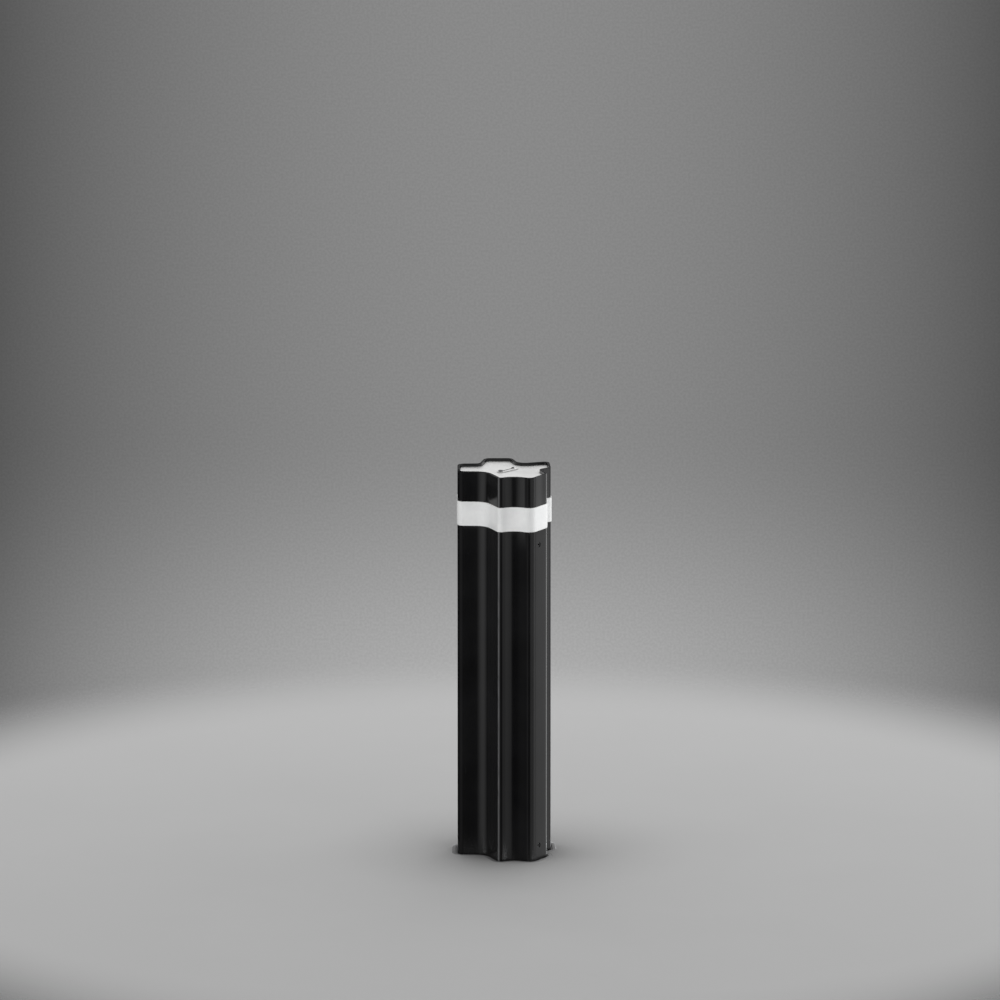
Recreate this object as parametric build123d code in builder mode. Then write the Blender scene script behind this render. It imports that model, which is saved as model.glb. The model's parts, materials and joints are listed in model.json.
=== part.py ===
from build123d import *
import math
import os

os.makedirs("parts", exist_ok=True)

# Retractable bollard: a lobed column that rises 500 mm out of a buried casing.
# A motor and gear pair turn a lead screw, which lifts the column along four guide bars.
# Frame: +Z up, origin on the column axis at ground level, front of the column towards -Y.
# The column is raised. All sizes in millimetres.

# ================================================================ driving dimensions
# column
RISE = 500.0                # height of the raised rim above ground, and the travel
WALL = 5.5                  # column wall
RIM = 3.2                   # thinner wall beside the cap plate, which sits on the step
SHELL_BOTTOM = -118.0
BAND_TOP = 461.1            # reflective band
BAND_BOTTOM = 429.5
BAND_GROOVE = 0.4           # depth of the groove the band sits in
BAND_PROUD = 0.8            # how far the band stands out of the shell
CAP_TOP = RISE - 3.6
CAP_THICK = 5.0
CAP_BOTTOM = CAP_TOP - CAP_THICK
HEAD_BOTTOM = 480.0         # underside of the head insert and the lock barrel
INSERT_INSET = WALL + 0.2   # inserts are 0.2 mm smaller than the shell's inside
BRIDGE_THICK = 12.0
LOWER_BRIDGE_Z = 12.0       # undersides of the two bridges
UPPER_BRIDGE_Z = 405.0
SET_SCREW_Z = (LOWER_BRIDGE_Z + BRIDGE_THICK / 2, UPPER_BRIDGE_Z + BRIDGE_THICK / 2)

# ground unit: collar, cover plate, hanger plate and frame, stacked downwards
COLLAR_GAP = 2.0            # column to ground collar
COLLAR_LIP = 5.0            # width of the collar's visible rim
COLLAR_FLANGE = 6.0         # thickness of the collar's flange
COVER_TOP = -24.0
COVER_THICK = 10.0
COVER_BOTTOM = COVER_TOP - COVER_THICK
FLANGE_TOP = COVER_TOP + COLLAR_FLANGE
HANGER_TOP = COVER_BOTTOM
HANGER_THICK = 8.0
FRAME_TOP = HANGER_TOP - HANGER_THICK
FRAME_THICK = 12.0
FRAME_BOTTOM = FRAME_TOP - FRAME_THICK
FRAME_SIZE = 262.0          # outside of the frame and the hanger plate
FRAME_CORNER = 16.0
CASING = 250.0              # square casing, outside
CASING_WALL = 3.0
CASING_CORNER = 10.0
CASING_BOTTOM = -874.0
BASE_THICK = 6.0
CONDUIT_Z = -160.0
CONDUIT_OUTER = 25.0        # radii of the conduit stub
CONDUIT_INNER = 22.0
GUIDE_BOTTOM = -104.0       # guide collar below the hanger plate

# lift: foot plate, guide bars and drive plate
FOOT_TOP = SHELL_BOTTOM
FOOT_THICK = 12.0
FOOT_BOTTOM = FOOT_TOP - FOOT_THICK
FOOT_SIZE = 180.0
BAR_OFFSET = 73.0           # guide bars stand at (+-BAR_OFFSET, +-BAR_OFFSET)
BAR_RADIUS = 7.0
BAR_STUD = 5.0              # radius of the bars' lower ends
BUSH_RADIUS = 11.0
DRIVE_TOP = -672.0
DRIVE_THICK = 12.0
DRIVE_BOTTOM = DRIVE_TOP - DRIVE_THICK
TARGET_Z = FOOT_BOTTOM + FOOT_THICK / 2
SENSOR_HEIGHTS = (TARGET_Z, TARGET_Z - RISE)

# drive: bearings, gears and motor
SCREW_RADIUS = 10.0         # lead screw
SCREW_TOP = -112.0
HOUSING_FLANGE = 6.0
HOUSING_TOP = DRIVE_TOP + HOUSING_FLANGE
HOUSING_BOTTOM = -699.0
HOUSING_LIP = 4.0           # closes the bearing bore at the top
BORE_TOP = HOUSING_TOP - HOUSING_LIP
BEARING_WIDTH = 12.0
GEAR_MODULE = 1.25
GEAR_TEETH = 54
PINION_TEETH = 18
GEAR_TOP = -702.0
GEAR_WIDTH = 14.0
GEAR_BOTTOM = GEAR_TOP - GEAR_WIDTH
MOTOR_X = GEAR_MODULE * (GEAR_TEETH + PINION_TEETH) / 2   # gear centre distance
CASE_BOTTOM = -730.0
CASE_WALL = 4.0             # floor thickness of the gear case
CASE_FLOOR = CASE_BOTTOM + CASE_WALL
CASE_FLANGE = 6.0
GEARBOX_BOTTOM = -770.0
CAN_BOTTOM = -858.0
END_CAP_THICK = 8.0
MOTOR_BOTTOM = CAN_BOTTOM - END_CAP_THICK
TERMINAL_Z = -806.0
BOX_HEIGHT = 60.0           # junction box below the drive plate
BOX_Z = DRIVE_BOTTOM - BOX_HEIGHT / 2
BOX_X = -78.0

# fasteners: shank radii, allowances on them, and circumradii of the hexagon sockets
M8 = 4.0
M6 = 3.0
M5 = 2.5
CLOSE_FIT = 0.05
FREE_FIT = 0.3
WIDE_FIT = 0.5
SOCKET_SMALL = 2.3
SOCKET_LARGE = 2.9


# ================================================================ places in plan (x, y)
def square_of(half):
    return [(-half, -half), (half, -half), (half, half), (-half, half)]


def cross_of(reach):
    return [(reach, 0), (0, reach), (-reach, 0), (0, -reach)]


def diagonal_ring(radius, centre_x=0.0):
    """Four places on a circle, on its diagonals."""
    angles = [math.radians(a) for a in (45, 135, 225, 315)]
    return [(centre_x + radius * math.cos(a), radius * math.sin(a)) for a in angles]


COVER_EDGE = 117.0          # cover screws lie on a square of this half side
CENTRE = [(0, 0)]
MOTOR_AXIS = [(MOTOR_X, 0)]
COVER_SCREWS = square_of(COVER_EDGE) + cross_of(COVER_EDGE)
LIFT_HOLES = [(-60, -COVER_EDGE), (60, -COVER_EDGE), (60, COVER_EDGE), (-60, COVER_EDGE)]
COLLAR_SCREWS = square_of(71.0)
GUIDE_SCREWS = square_of(59.4)
BARS = square_of(BAR_OFFSET)
STUDS = [(-42, 3), (42, 22), (22, -42)]
FOOT_SCREWS = STUDS + [(-7, 44)]
NUT_SCREWS = cross_of(22)
HOUSING_SCREWS = diagonal_ring(30.5)
CASE_SCREWS = [(0, 47), (0, -47), (MOTOR_X, 35), (MOTOR_X, -35), (-47, 0)]
MOTOR_SCREWS = diagonal_ring(28, MOTOR_X)

# The key cover pivots at one end and hides the lock at the other.
PIVOT_XY = (-4.5, -8.0)
LOCK_XY = (11.0, 10.4)

# Corners of the column's cross-section as (x, y, corner radius), anticlockwise from the
# left lobe: left, front (sharp ridge, shallow dip, round hump), right, back.
OUTLINE = [
    (-59.5, -20.2, 8), (-23.0, -22.5, 20), (-6.6, -60.6, 5), (12.4, -50.6, 24),
    (35.2, -63.0, 10), (55.2, -31.0, 12), (47.0, -6.4, 6), (59.6, 3.5, 6),
    (57.4, 41.5, 7), (18.5, 28.99, 12), (10.0, 60.0, 8), (-25.0, 60.0, 9),
    (-32.0, 28.62, 6), (-59.5, 27.5, 9),
]


# ================================================================ helpers
def save(builder, name):
    builder.part.label = name
    export_step(builder.part, f"parts/{name}.step")


def level(z):
    """Horizontal plane at height z."""
    return Plane.XY.offset(z)


def facing_back(y, z, x=0.0):
    """Upright plane that faces +Y, with its origin at (x, y, z)."""
    return Plane(origin=(x, y, z), x_dir=(1, 0, 0), z_dir=(0, 1, 0))


def circles(places, radius, mode=Mode.ADD):
    """Adds equal circles to the open sketch."""
    with Locations(*places):
        Circle(radius, mode=mode)


def holes(places, radius):
    circles(places, radius, Mode.SUBTRACT)


def hexagons(places, circumradius):
    with Locations(*places):
        RegularPolygon(circumradius, 6)


def cones(places, top, small, large, mode=Mode.ADD):
    """45 degree cones in the open part, wide end up at height top."""
    height = large - small
    with Locations(*[(x, y, top - height / 2) for x, y in places]):
        Cone(small, large, height, mode=mode)


def lobed(offset):
    """Corner points and corner radii of the column's outline, moved outwards by offset."""
    sides = []
    for i, (x0, y0, _) in enumerate(OUTLINE):
        x1, y1, _ = OUTLINE[(i + 1) % len(OUTLINE)]
        length = math.hypot(x1 - x0, y1 - y0)
        dir_x = (x1 - x0) / length
        dir_y = (y1 - y0) / length
        sides.append((x0 + dir_y * offset, y0 - dir_x * offset, dir_x, dir_y))
    points = []
    radii = []
    for i, (x1, y1, dir_x1, dir_y1) in enumerate(sides):
        x0, y0, dir_x0, dir_y0 = sides[i - 1]
        turn = dir_x0 * dir_y1 - dir_y0 * dir_x1     # positive at a convex corner
        along = ((x1 - x0) * dir_y1 - (y1 - y0) * dir_x1) / turn
        points.append((x0 + dir_x0 * along, y0 + dir_y0 * along))
        radii.append(max(OUTLINE[i][2] + (offset if turn > 0 else -offset), 1.0))
    return points, radii


def lobed_wire(offset):
    """Adds the closed lobed outline, moved outwards by offset, to the open line."""
    points, radii = lobed(offset)
    FilletPolyline(*points, radius=radii, close=True)


def countersunk_screws(*screw_sets):
    """Screws with a conical head at the top and a hexagon socket."""
    with BuildPart() as screws:
        for places, bottom, top, shank, head, socket, socket_depth in screw_sets:
            with BuildSketch(level(bottom)):
                circles(places, shank)
            extrude(amount=top - (head - shank) - bottom)
            cones(places, top, shank, head)
            with BuildSketch(level(top)):
                hexagons(places, socket)
            extrude(amount=-socket_depth, mode=Mode.SUBTRACT)
    return screws


def socket_head_screws(shank, head, head_height, socket, socket_depth, screw_sets):
    """Screws with a round head; each set is (places, seat height, grip, head side).

    The head side is 1 for a head above its seat and -1 for one below.
    """
    with BuildPart() as screws:
        for places, seat, grip, side in screw_sets:
            with BuildSketch(level(seat)):
                circles(places, shank)
            extrude(amount=-grip * side)
            with BuildSketch(level(seat)):
                circles(places, head)
            extrude(amount=head_height * side)
            with BuildSketch(level(seat + head_height * side)):
                hexagons(places, socket)
            extrude(amount=-socket_depth * side, mode=Mode.SUBTRACT)
    return screws


def round_rods(radius, bend, routes):
    """Round rods or cables along routes of corner points, with bends of one radius."""
    with BuildPart() as rods:
        for route in routes:
            with BuildLine() as path:
                FilletPolyline(*route, radius=bend)
            with BuildSketch(Plane(origin=path.line @ 0, z_dir=path.line % 0)):
                Circle(radius)
            sweep(path=path.line)
    return rods


def gear_outline(teeth, outer, root, thinning, turn):
    """Involute spur gear outline, 20 degree pressure angle, as a closed list of points.

    outer and root are radii, thinning is taken off each flank at the pitch circle,
    and turn is the angle of the first tooth in radians.
    """
    pitch = GEAR_MODULE * teeth / 2
    base = pitch * math.cos(math.radians(20))
    involute_20 = math.tan(math.radians(20)) - math.radians(20)

    def half_angle(radius):
        pressure = math.acos(min(1.0, base / radius)) if radius > base else 0.0
        return (math.pi / (2 * teeth) - thinning / pitch + involute_20
                - (math.tan(pressure) - pressure))

    start = max(root, base)
    flank = [start + (outer - start) * k / 4 for k in range(5)]
    tooth_side = [(radius, -half_angle(radius)) for radius in flank]
    if root < base:
        tooth_side.insert(0, (root, -half_angle(base)))
    profile = tooth_side + [(radius, -angle) for radius, angle in reversed(tooth_side)]
    points = []
    for tooth in range(teeth):
        middle = turn + 2 * math.pi * tooth / teeth
        points += [(radius * math.cos(middle + angle), radius * math.sin(middle + angle))
                   for radius, angle in profile]
    return points


# ================================================================ buried ground unit

# square casing of sheet, open at both ends, with the cable entry in its back wall
with BuildPart() as foundation_casing:
    with BuildSketch(level(CASING_BOTTOM)):
        RectangleRounded(CASING, CASING, CASING_CORNER)
        RectangleRounded(CASING - 2 * CASING_WALL, CASING - 2 * CASING_WALL,
                         CASING_CORNER - CASING_WALL, mode=Mode.SUBTRACT)
    extrude(amount=FRAME_BOTTOM - CASING_BOTTOM)
    with BuildSketch(facing_back(CASING / 2 + 1, CONDUIT_Z)):
        Circle(CONDUIT_INNER)
    extrude(amount=-2 * CASING_WALL, mode=Mode.SUBTRACT)
save(foundation_casing, "foundation_casing")

# base plate with four anchor holes and the drain
DRAIN_RADIUS = 30
with BuildPart() as casing_base:
    with BuildSketch(level(CASING_BOTTOM - BASE_THICK)):
        RectangleRounded(300, 300, 14)
        holes(square_of(135), 7)
        holes([(-72, 0)], DRAIN_RADIUS)
    extrude(amount=BASE_THICK)
    chamfer(casing_base.edges().filter_by(Axis.Z, reverse=True).group_by(Axis.Z)[-1]
            .filter_by(lambda e: e.length > 80), length=1.0)
save(casing_base, "casing_base")

# anchor bars: U-shaped rods on the four walls at two levels
ANCHOR_LEVELS = (-330.0, -720.0)
ANCHOR_HALF_WIDTH = 70
ANCHOR_REACH = CASING / 2 + 18
ANCHOR_CORNERS = [(-ANCHOR_HALF_WIDTH, CASING / 2), (-ANCHOR_HALF_WIDTH, ANCHOR_REACH),
                  (ANCHOR_HALF_WIDTH, ANCHOR_REACH), (ANCHOR_HALF_WIDTH, CASING / 2)]


def anchor_route(z, angle):
    """Corners of the back wall's anchor bar at height z, turned about the column axis."""
    return [(x * math.cos(angle) - y * math.sin(angle),
             x * math.sin(angle) + y * math.cos(angle), z) for x, y in ANCHOR_CORNERS]


anchor_bars = round_rods(radius=5, bend=12, routes=[
    anchor_route(z, math.radians(90 * quarter))
    for z in ANCHOR_LEVELS for quarter in range(4)])
save(anchor_bars, "anchor_bars")

# frame that closes the casing's top edge and takes the cover screws
LIFT_CLEARANCE = 6.5        # radius of the holes below the cover plate's lifting holes
with BuildPart() as top_frame:
    with BuildSketch(level(FRAME_BOTTOM)):
        RectangleRounded(FRAME_SIZE, FRAME_SIZE, FRAME_CORNER)
        RectangleRounded(206, 206, 10, mode=Mode.SUBTRACT)
        holes(COVER_SCREWS, M8 + CLOSE_FIT)
        holes(LIFT_HOLES, LIFT_CLEARANCE)
    extrude(amount=FRAME_THICK)
save(top_frame, "top_frame")

# cable conduit stub over the cable entry
with BuildPart() as cable_conduit:
    with BuildSketch(facing_back(CASING / 2, CONDUIT_Z)):
        Circle(CONDUIT_OUTER)
        Circle(CONDUIT_INNER, mode=Mode.SUBTRACT)
    extrude(amount=40)
save(cable_conduit, "cable_conduit")

# gland around the supply cable: a hexagon inside the casing and a plug in the wall
SUPPLY_CABLE_RADIUS = 4.5
SUPPLY_CABLE_HOLE = SUPPLY_CABLE_RADIUS + 0.2
GLAND_Y = 116
GLAND_HEX_LENGTH = 6
GLAND_PLUG_LENGTH = 14
with BuildPart() as conduit_gland:
    with BuildSketch(facing_back(GLAND_Y, CONDUIT_Z)):
        RegularPolygon(26, 6)
    extrude(amount=GLAND_HEX_LENGTH)
    with BuildSketch(facing_back(GLAND_Y + GLAND_HEX_LENGTH, CONDUIT_Z)):
        Circle(CONDUIT_INNER - 0.2)
    extrude(amount=GLAND_PLUG_LENGTH)
    with BuildSketch(facing_back(GLAND_Y, CONDUIT_Z)):
        Circle(SUPPLY_CABLE_HOLE)
    extrude(amount=GLAND_HEX_LENGTH + GLAND_PLUG_LENGTH, mode=Mode.SUBTRACT)
save(conduit_gland, "conduit_gland")

# cover plate below the paving: lobed opening, countersunk screw holes and four
# lifting holes
with BuildPart() as cover_plate:
    with BuildSketch(level(COVER_BOTTOM)):
        RectangleRounded(290, 290, 18)
        with BuildLine():
            lobed_wire(9)
        make_face(mode=Mode.SUBTRACT)
        holes(COVER_SCREWS, M8 + WIDE_FIT)
        holes(LIFT_HOLES, 5.0)
        holes(COLLAR_SCREWS, M6 + CLOSE_FIT)
    extrude(amount=COVER_THICK)
    cones(COVER_SCREWS, COVER_TOP, M8 + WIDE_FIT, 8.9, Mode.SUBTRACT)
    chamfer(cover_plate.edges().group_by(Axis.Z)[-1].filter_by(lambda e: e.length > 200),
            length=1.5)
save(cover_plate, "cover_plate")

# screws through cover and hanger into the frame
cover_screws = countersunk_screws(
    (COVER_SCREWS, FRAME_BOTTOM + 1, COVER_TOP - 0.2, M8, 8.4, SOCKET_LARGE, 3))
save(cover_screws, "cover_screws")

# ground collar: a lobed neck whose rim is flush with the paving, on a flange that is
# screwed to the cover plate; a groove inside holds the wiper seal
SEAL_GROOVE_BOTTOM = -13
SEAL_GROOVE_HEIGHT = 6
with BuildPart() as surface_collar:
    with BuildSketch(level(COVER_TOP)):
        RectangleRounded(164, 164, 18)
        holes(COLLAR_SCREWS, M6 + FREE_FIT)
    extrude(amount=COLLAR_FLANGE)
    with BuildSketch(level(FLANGE_TOP)):
        with BuildLine():
            lobed_wire(COLLAR_GAP + COLLAR_LIP)
        make_face()
    extrude(amount=-FLANGE_TOP)
    with BuildSketch(level(COVER_TOP)):
        with BuildLine():
            lobed_wire(COLLAR_GAP)
        make_face()
    extrude(amount=-COVER_TOP, mode=Mode.SUBTRACT)
    with BuildSketch(level(SEAL_GROOVE_BOTTOM)):
        with BuildLine():
            lobed_wire(COLLAR_GAP + 2.2)
        make_face()
    extrude(amount=SEAL_GROOVE_HEIGHT, mode=Mode.SUBTRACT)
    cones(COLLAR_SCREWS, FLANGE_TOP, M6 + FREE_FIT, 6.3, Mode.SUBTRACT)
save(surface_collar, "surface_collar")

collar_screws = countersunk_screws(
    (COLLAR_SCREWS, COVER_BOTTOM + 1, FLANGE_TOP - 0.1, M6, 6.0, SOCKET_SMALL, 2.5))
save(collar_screws, "collar_screws")

# wiper seal: a rubber ring in the collar's groove, a web above it, and a lip towards
# the column; each layer is (bottom, height, outer offset, inner offset)
LIP_INNER = BAND_PROUD + 0.3
SEAL_LAYERS = [
    (-12.9, 5.8, COLLAR_GAP + 2.1, COLLAR_GAP + 0.1),
    (-9.1, 2.0, COLLAR_GAP + 0.6, LIP_INNER),
    (-7.6, 6.8, COLLAR_GAP - 0.2, LIP_INNER),
]
with BuildPart() as wiper_seal:
    for seal_bottom, seal_height, seal_outer, seal_inner in SEAL_LAYERS:
        with BuildSketch(level(seal_bottom)):
            with BuildLine():
                lobed_wire(seal_outer)
            make_face()
            with BuildLine():
                lobed_wire(seal_inner)
            make_face(mode=Mode.SUBTRACT)
        extrude(amount=seal_height)
save(wiper_seal, "wiper_seal")

# hanger plate: the lift unit hangs from it, so it can be pulled out as one
with BuildPart() as hanger_plate:
    with BuildSketch(level(FRAME_TOP)):
        RectangleRounded(FRAME_SIZE, FRAME_SIZE, FRAME_CORNER)
        with BuildLine():
            lobed_wire(8)
        make_face(mode=Mode.SUBTRACT)
        holes(COVER_SCREWS, M8 + WIDE_FIT)
        holes(LIFT_HOLES, LIFT_CLEARANCE)
        holes(BARS, M8 + FREE_FIT)
        holes(GUIDE_SCREWS, M6 + FREE_FIT)
    extrude(amount=HANGER_THICK)
    cones(BARS, HANGER_TOP, M8 + FREE_FIT, 8.5, Mode.SUBTRACT)
    cones(GUIDE_SCREWS, HANGER_TOP, M6 + FREE_FIT, 6.3, Mode.SUBTRACT)
save(hanger_plate, "hanger_plate")

# plastic guide collar below the hanger plate: it guides the shell over its lower part,
# and is relieved above that so the parked reflective band stays free
RELIEF_BOTTOM = -71.5
with BuildPart() as guide_collar:
    with BuildSketch(level(GUIDE_BOTTOM)):
        Circle(92)
        with BuildLine():
            lobed_wire(0.25)
        make_face(mode=Mode.SUBTRACT)
    extrude(amount=FRAME_TOP - GUIDE_BOTTOM)
    with BuildSketch(level(RELIEF_BOTTOM)):
        with BuildLine():
            lobed_wire(2.6)
        make_face()
    extrude(amount=FRAME_TOP - RELIEF_BOTTOM, mode=Mode.SUBTRACT)
    with BuildSketch(level(FRAME_TOP)):
        circles(GUIDE_SCREWS, M6 + CLOSE_FIT)
    extrude(amount=-22, mode=Mode.SUBTRACT)
save(guide_collar, "guide_collar")

# four guide bars from the hanger plate to the drive plate, with thinner lower ends
with BuildPart() as guide_bars:
    with BuildSketch(level(DRIVE_TOP)):
        circles(BARS, BAR_RADIUS)
    extrude(amount=FRAME_TOP - DRIVE_TOP)
    with BuildSketch(level(DRIVE_TOP)):
        circles(BARS, BAR_STUD)
    extrude(amount=-26)
    with BuildSketch(level(FRAME_TOP)):
        circles(BARS, M8 + CLOSE_FIT)
    extrude(amount=-24, mode=Mode.SUBTRACT)
save(guide_bars, "guide_bars")

# screws in the hanger plate: four into the guide collar, four into the bars
hanger_screws = countersunk_screws(
    (GUIDE_SCREWS, FRAME_TOP - 20, HANGER_TOP - 0.1, M6, 6.0, SOCKET_SMALL, 2.8),
    (BARS, FRAME_TOP - 20, HANGER_TOP - 0.1, M8, 8.2, SOCKET_LARGE, 2.8))
save(hanger_screws, "hanger_screws")

# nuts with washers on the bars' lower ends
WASHER_THICK = 2
BAR_NUT_HEIGHT = 8
BAR_NUT_BOTTOM = DRIVE_BOTTOM - WASHER_THICK - BAR_NUT_HEIGHT
with BuildPart() as guide_bar_nuts:
    with BuildSketch(level(DRIVE_BOTTOM - WASHER_THICK)):
        circles(BARS, 10)
    extrude(amount=WASHER_THICK)
    with BuildSketch(level(BAR_NUT_BOTTOM)):
        hexagons(BARS, 9.8)
    extrude(amount=BAR_NUT_HEIGHT)
    with BuildSketch(level(BAR_NUT_BOTTOM)):
        circles(BARS, BAR_STUD + 0.02)
    extrude(amount=BAR_NUT_HEIGHT + WASHER_THICK, mode=Mode.SUBTRACT)
save(guide_bar_nuts, "guide_bar_nuts")

# rubber end stops: short ones under the guide collar, tall ones on the drive plate
SHORT_BUFFER = 13
TALL_BUFFER = 41
with BuildPart() as rubber_buffers:
    with BuildSketch(level(GUIDE_BOTTOM - SHORT_BUFFER)):
        circles(cross_of(80), 8)
    extrude(amount=SHORT_BUFFER)
    fillet(rubber_buffers.edges().group_by(Axis.Z)[0], radius=2.5)
    with BuildSketch(level(DRIVE_TOP)):
        circles(cross_of(62), 12)
    extrude(amount=TALL_BUFFER)
    fillet(rubber_buffers.edges().filter_by_position(
        Axis.Z, DRIVE_TOP + TALL_BUFFER - 0.1, DRIVE_TOP + TALL_BUFFER + 0.1), radius=4)
save(rubber_buffers, "rubber_buffers")

# drive plate: carries the screw bearing, the gear case and the gearmotor
HOUSING_RADIUS = 25
with BuildPart() as drive_plate:
    with BuildSketch(level(DRIVE_BOTTOM)):
        RectangleRounded(200, 200, 14)
        Circle(HOUSING_RADIUS + CLOSE_FIT, mode=Mode.SUBTRACT)
        holes(BARS, BAR_STUD + CLOSE_FIT)
        holes(HOUSING_SCREWS, M5 + CLOSE_FIT)
        with Locations((-96, 17), (-96, -17)):      # sensor cable openings
            Rectangle(12, 8, mode=Mode.SUBTRACT)
    extrude(amount=DRIVE_THICK)
save(drive_plate, "drive_plate")

# flanged housing for the lead screw's two ball bearings
with BuildPart() as bearing_housing:
    with BuildSketch(level(DRIVE_TOP)):
        Circle(36)
        holes(HOUSING_SCREWS, M5 + FREE_FIT)
    extrude(amount=HOUSING_FLANGE)
    with BuildSketch(level(HOUSING_BOTTOM)):
        Circle(HOUSING_RADIUS)
    extrude(amount=DRIVE_TOP - HOUSING_BOTTOM)
    with BuildSketch(level(HOUSING_BOTTOM)):
        Circle(20.02)
    extrude(amount=BORE_TOP - HOUSING_BOTTOM, mode=Mode.SUBTRACT)
    with BuildSketch(level(BORE_TOP)):
        Circle(13)
    extrude(amount=HOUSING_LIP, mode=Mode.SUBTRACT)
save(bearing_housing, "bearing_housing")

# two deep-groove ball bearings, each an outer ring, an inner ring and its balls
RING_THICK = 4.0
BALL_CIRCLE = 14.25
with BuildPart() as screw_bearings:
    for middle_z in (BORE_TOP - 1.5 * BEARING_WIDTH, BORE_TOP - 0.5 * BEARING_WIDTH):
        with BuildSketch(Plane.XZ):
            with Locations((0, middle_z)):
                with Locations((18.0, 0)):
                    Rectangle(RING_THICK, BEARING_WIDTH - 0.02)
                with Locations((10.5, 0)):
                    Rectangle(RING_THICK, BEARING_WIDTH - 0.02)
                with Locations((BALL_CIRCLE, 0)):
                    Circle(3.3, mode=Mode.SUBTRACT)
        revolve(axis=Axis.Z)
        with PolarLocations(BALL_CIRCLE, 8):
            with Locations((0, 0, middle_z)):
                Sphere(3.2)
save(screw_bearings, "screw_bearings")

# retaining ring below the bearings, with its gap towards the front
with BuildPart() as bearing_circlip:
    with BuildSketch(level(-695.6)):
        Circle(19.9)
        Circle(17.2, mode=Mode.SUBTRACT)
        with Locations((0, -19)):
            Rectangle(7, 6, mode=Mode.SUBTRACT)
    extrude(amount=1.5)
save(bearing_circlip, "bearing_circlip")


def drive_hull(gear_end, pinion_end):
    """Adds the hull of two circles around the gear and the pinion to the open sketch."""
    circles(CENTRE, gear_end)
    circles(MOTOR_AXIS, pinion_end)
    make_hull()


# gear case: a tray under the drive plate around the gear pair
with BuildPart() as gear_case:
    with BuildSketch(level(CASE_BOTTOM)):
        drive_hull(42, 26)
    extrude(amount=DRIVE_BOTTOM - CASE_BOTTOM)
    with BuildSketch(level(DRIVE_BOTTOM - CASE_FLANGE)):
        drive_hull(52, 36)
        holes(CASE_SCREWS, M5 + FREE_FIT)
    extrude(amount=CASE_FLANGE)
    with BuildSketch(level(CASE_FLOOR)):
        drive_hull(38.5, 22.5)
    extrude(amount=DRIVE_BOTTOM - CASE_FLOOR, mode=Mode.SUBTRACT)
    with BuildSketch(level(CASE_BOTTOM)):
        circles(MOTOR_AXIS, 16)
    extrude(amount=CASE_WALL, mode=Mode.SUBTRACT)
save(gear_case, "gear_case")

# gearbox on the motor, with a spigot into the gear case, the bore for its output shaft
# and three grooves around it
MOTOR_SHAFT_RADIUS = 5.0
with BuildPart() as motor_gearbox:
    with BuildSketch(level(GEARBOX_BOTTOM)):
        circles(MOTOR_AXIS, 30)
    extrude(amount=CASE_BOTTOM - GEARBOX_BOTTOM)
    with BuildSketch(level(CASE_BOTTOM)):
        circles(MOTOR_AXIS, 15.9)
    extrude(amount=CASE_WALL)
    with BuildSketch(level(CASE_FLOOR)):
        circles(MOTOR_AXIS, MOTOR_SHAFT_RADIUS + CLOSE_FIT)
    extrude(amount=-26, mode=Mode.SUBTRACT)
    for groove_z in (-762.0, -750.0, -738.0):
        with BuildSketch(level(groove_z)):
            circles(MOTOR_AXIS, 31)
            holes(MOTOR_AXIS, 28.8)
        extrude(amount=2, mode=Mode.SUBTRACT)
save(motor_gearbox, "motor_gearbox")

# motor can with its terminal box on the side towards the column axis
MOTOR_RADIUS = 35
MOTOR_CABLE_RADIUS = 3.5
MOTOR_CABLE_HOLE = MOTOR_CABLE_RADIUS + 0.2
TERMINAL_HEIGHT = 32
with BuildPart() as motor_can:
    with BuildSketch(level(CAN_BOTTOM)):
        circles(MOTOR_AXIS, MOTOR_RADIUS)
    extrude(amount=GEARBOX_BOTTOM - CAN_BOTTOM)
    with BuildSketch(level(TERMINAL_Z - TERMINAL_HEIGHT / 2)):
        with Locations((8, 0)):
            RectangleRounded(20, 30, 3)
    extrude(amount=TERMINAL_HEIGHT)
    with BuildSketch(Plane(origin=(-2, 0, TERMINAL_Z), x_dir=(0, 1, 0), z_dir=(1, 0, 0))):
        Circle(MOTOR_CABLE_HOLE)
    extrude(amount=8, mode=Mode.SUBTRACT)
save(motor_can, "motor_can")

with BuildPart() as motor_end_cap:
    with BuildSketch(level(MOTOR_BOTTOM)):
        circles(MOTOR_AXIS, MOTOR_RADIUS)
        holes(MOTOR_SCREWS, 2.6)
    extrude(amount=END_CAP_THICK)
    fillet(motor_end_cap.edges().group_by(Axis.Z)[0].sort_by(SortBy.RADIUS)[-1], radius=3)
save(motor_end_cap, "motor_end_cap")

# screws of the drive: bearing housing from above, gear case and motor end cap from below
drive_screws = socket_head_screws(
    shank=M5, head=4.2, head_height=4, socket=SOCKET_SMALL, socket_depth=2.5,
    screw_sets=[(HOUSING_SCREWS, HOUSING_TOP, 17, 1),
                (CASE_SCREWS, DRIVE_BOTTOM - CASE_FLANGE, 6, -1),
                (MOTOR_SCREWS, MOTOR_BOTTOM, END_CAP_THICK, -1)])
save(drive_screws, "drive_screws")

# rail on the left of the lift path, with a foot and a head tab, for the two sensors
RAIL_THICK = 2.5
RAIL_WIDTH = 20
RAIL_FACE_X = -100.0        # face of the rail towards the column
with BuildPart() as sensor_rail:
    with BuildSketch(Plane.YZ.offset(RAIL_FACE_X - RAIL_THICK)):
        with Locations((0, (FRAME_TOP + DRIVE_TOP) / 2)):
            Rectangle(RAIL_WIDTH, FRAME_TOP - DRIVE_TOP)
    extrude(amount=RAIL_THICK)
    with BuildSketch(level(DRIVE_TOP)):
        with Locations((-95, 0)):
            Rectangle(12, RAIL_WIDTH)
    extrude(amount=RAIL_THICK)
    with BuildSketch(level(FRAME_TOP - RAIL_THICK)):
        with Locations((-97, 0)):
            Rectangle(8, RAIL_WIDTH)
    extrude(amount=RAIL_THICK)
save(sensor_rail, "sensor_rail")

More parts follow.
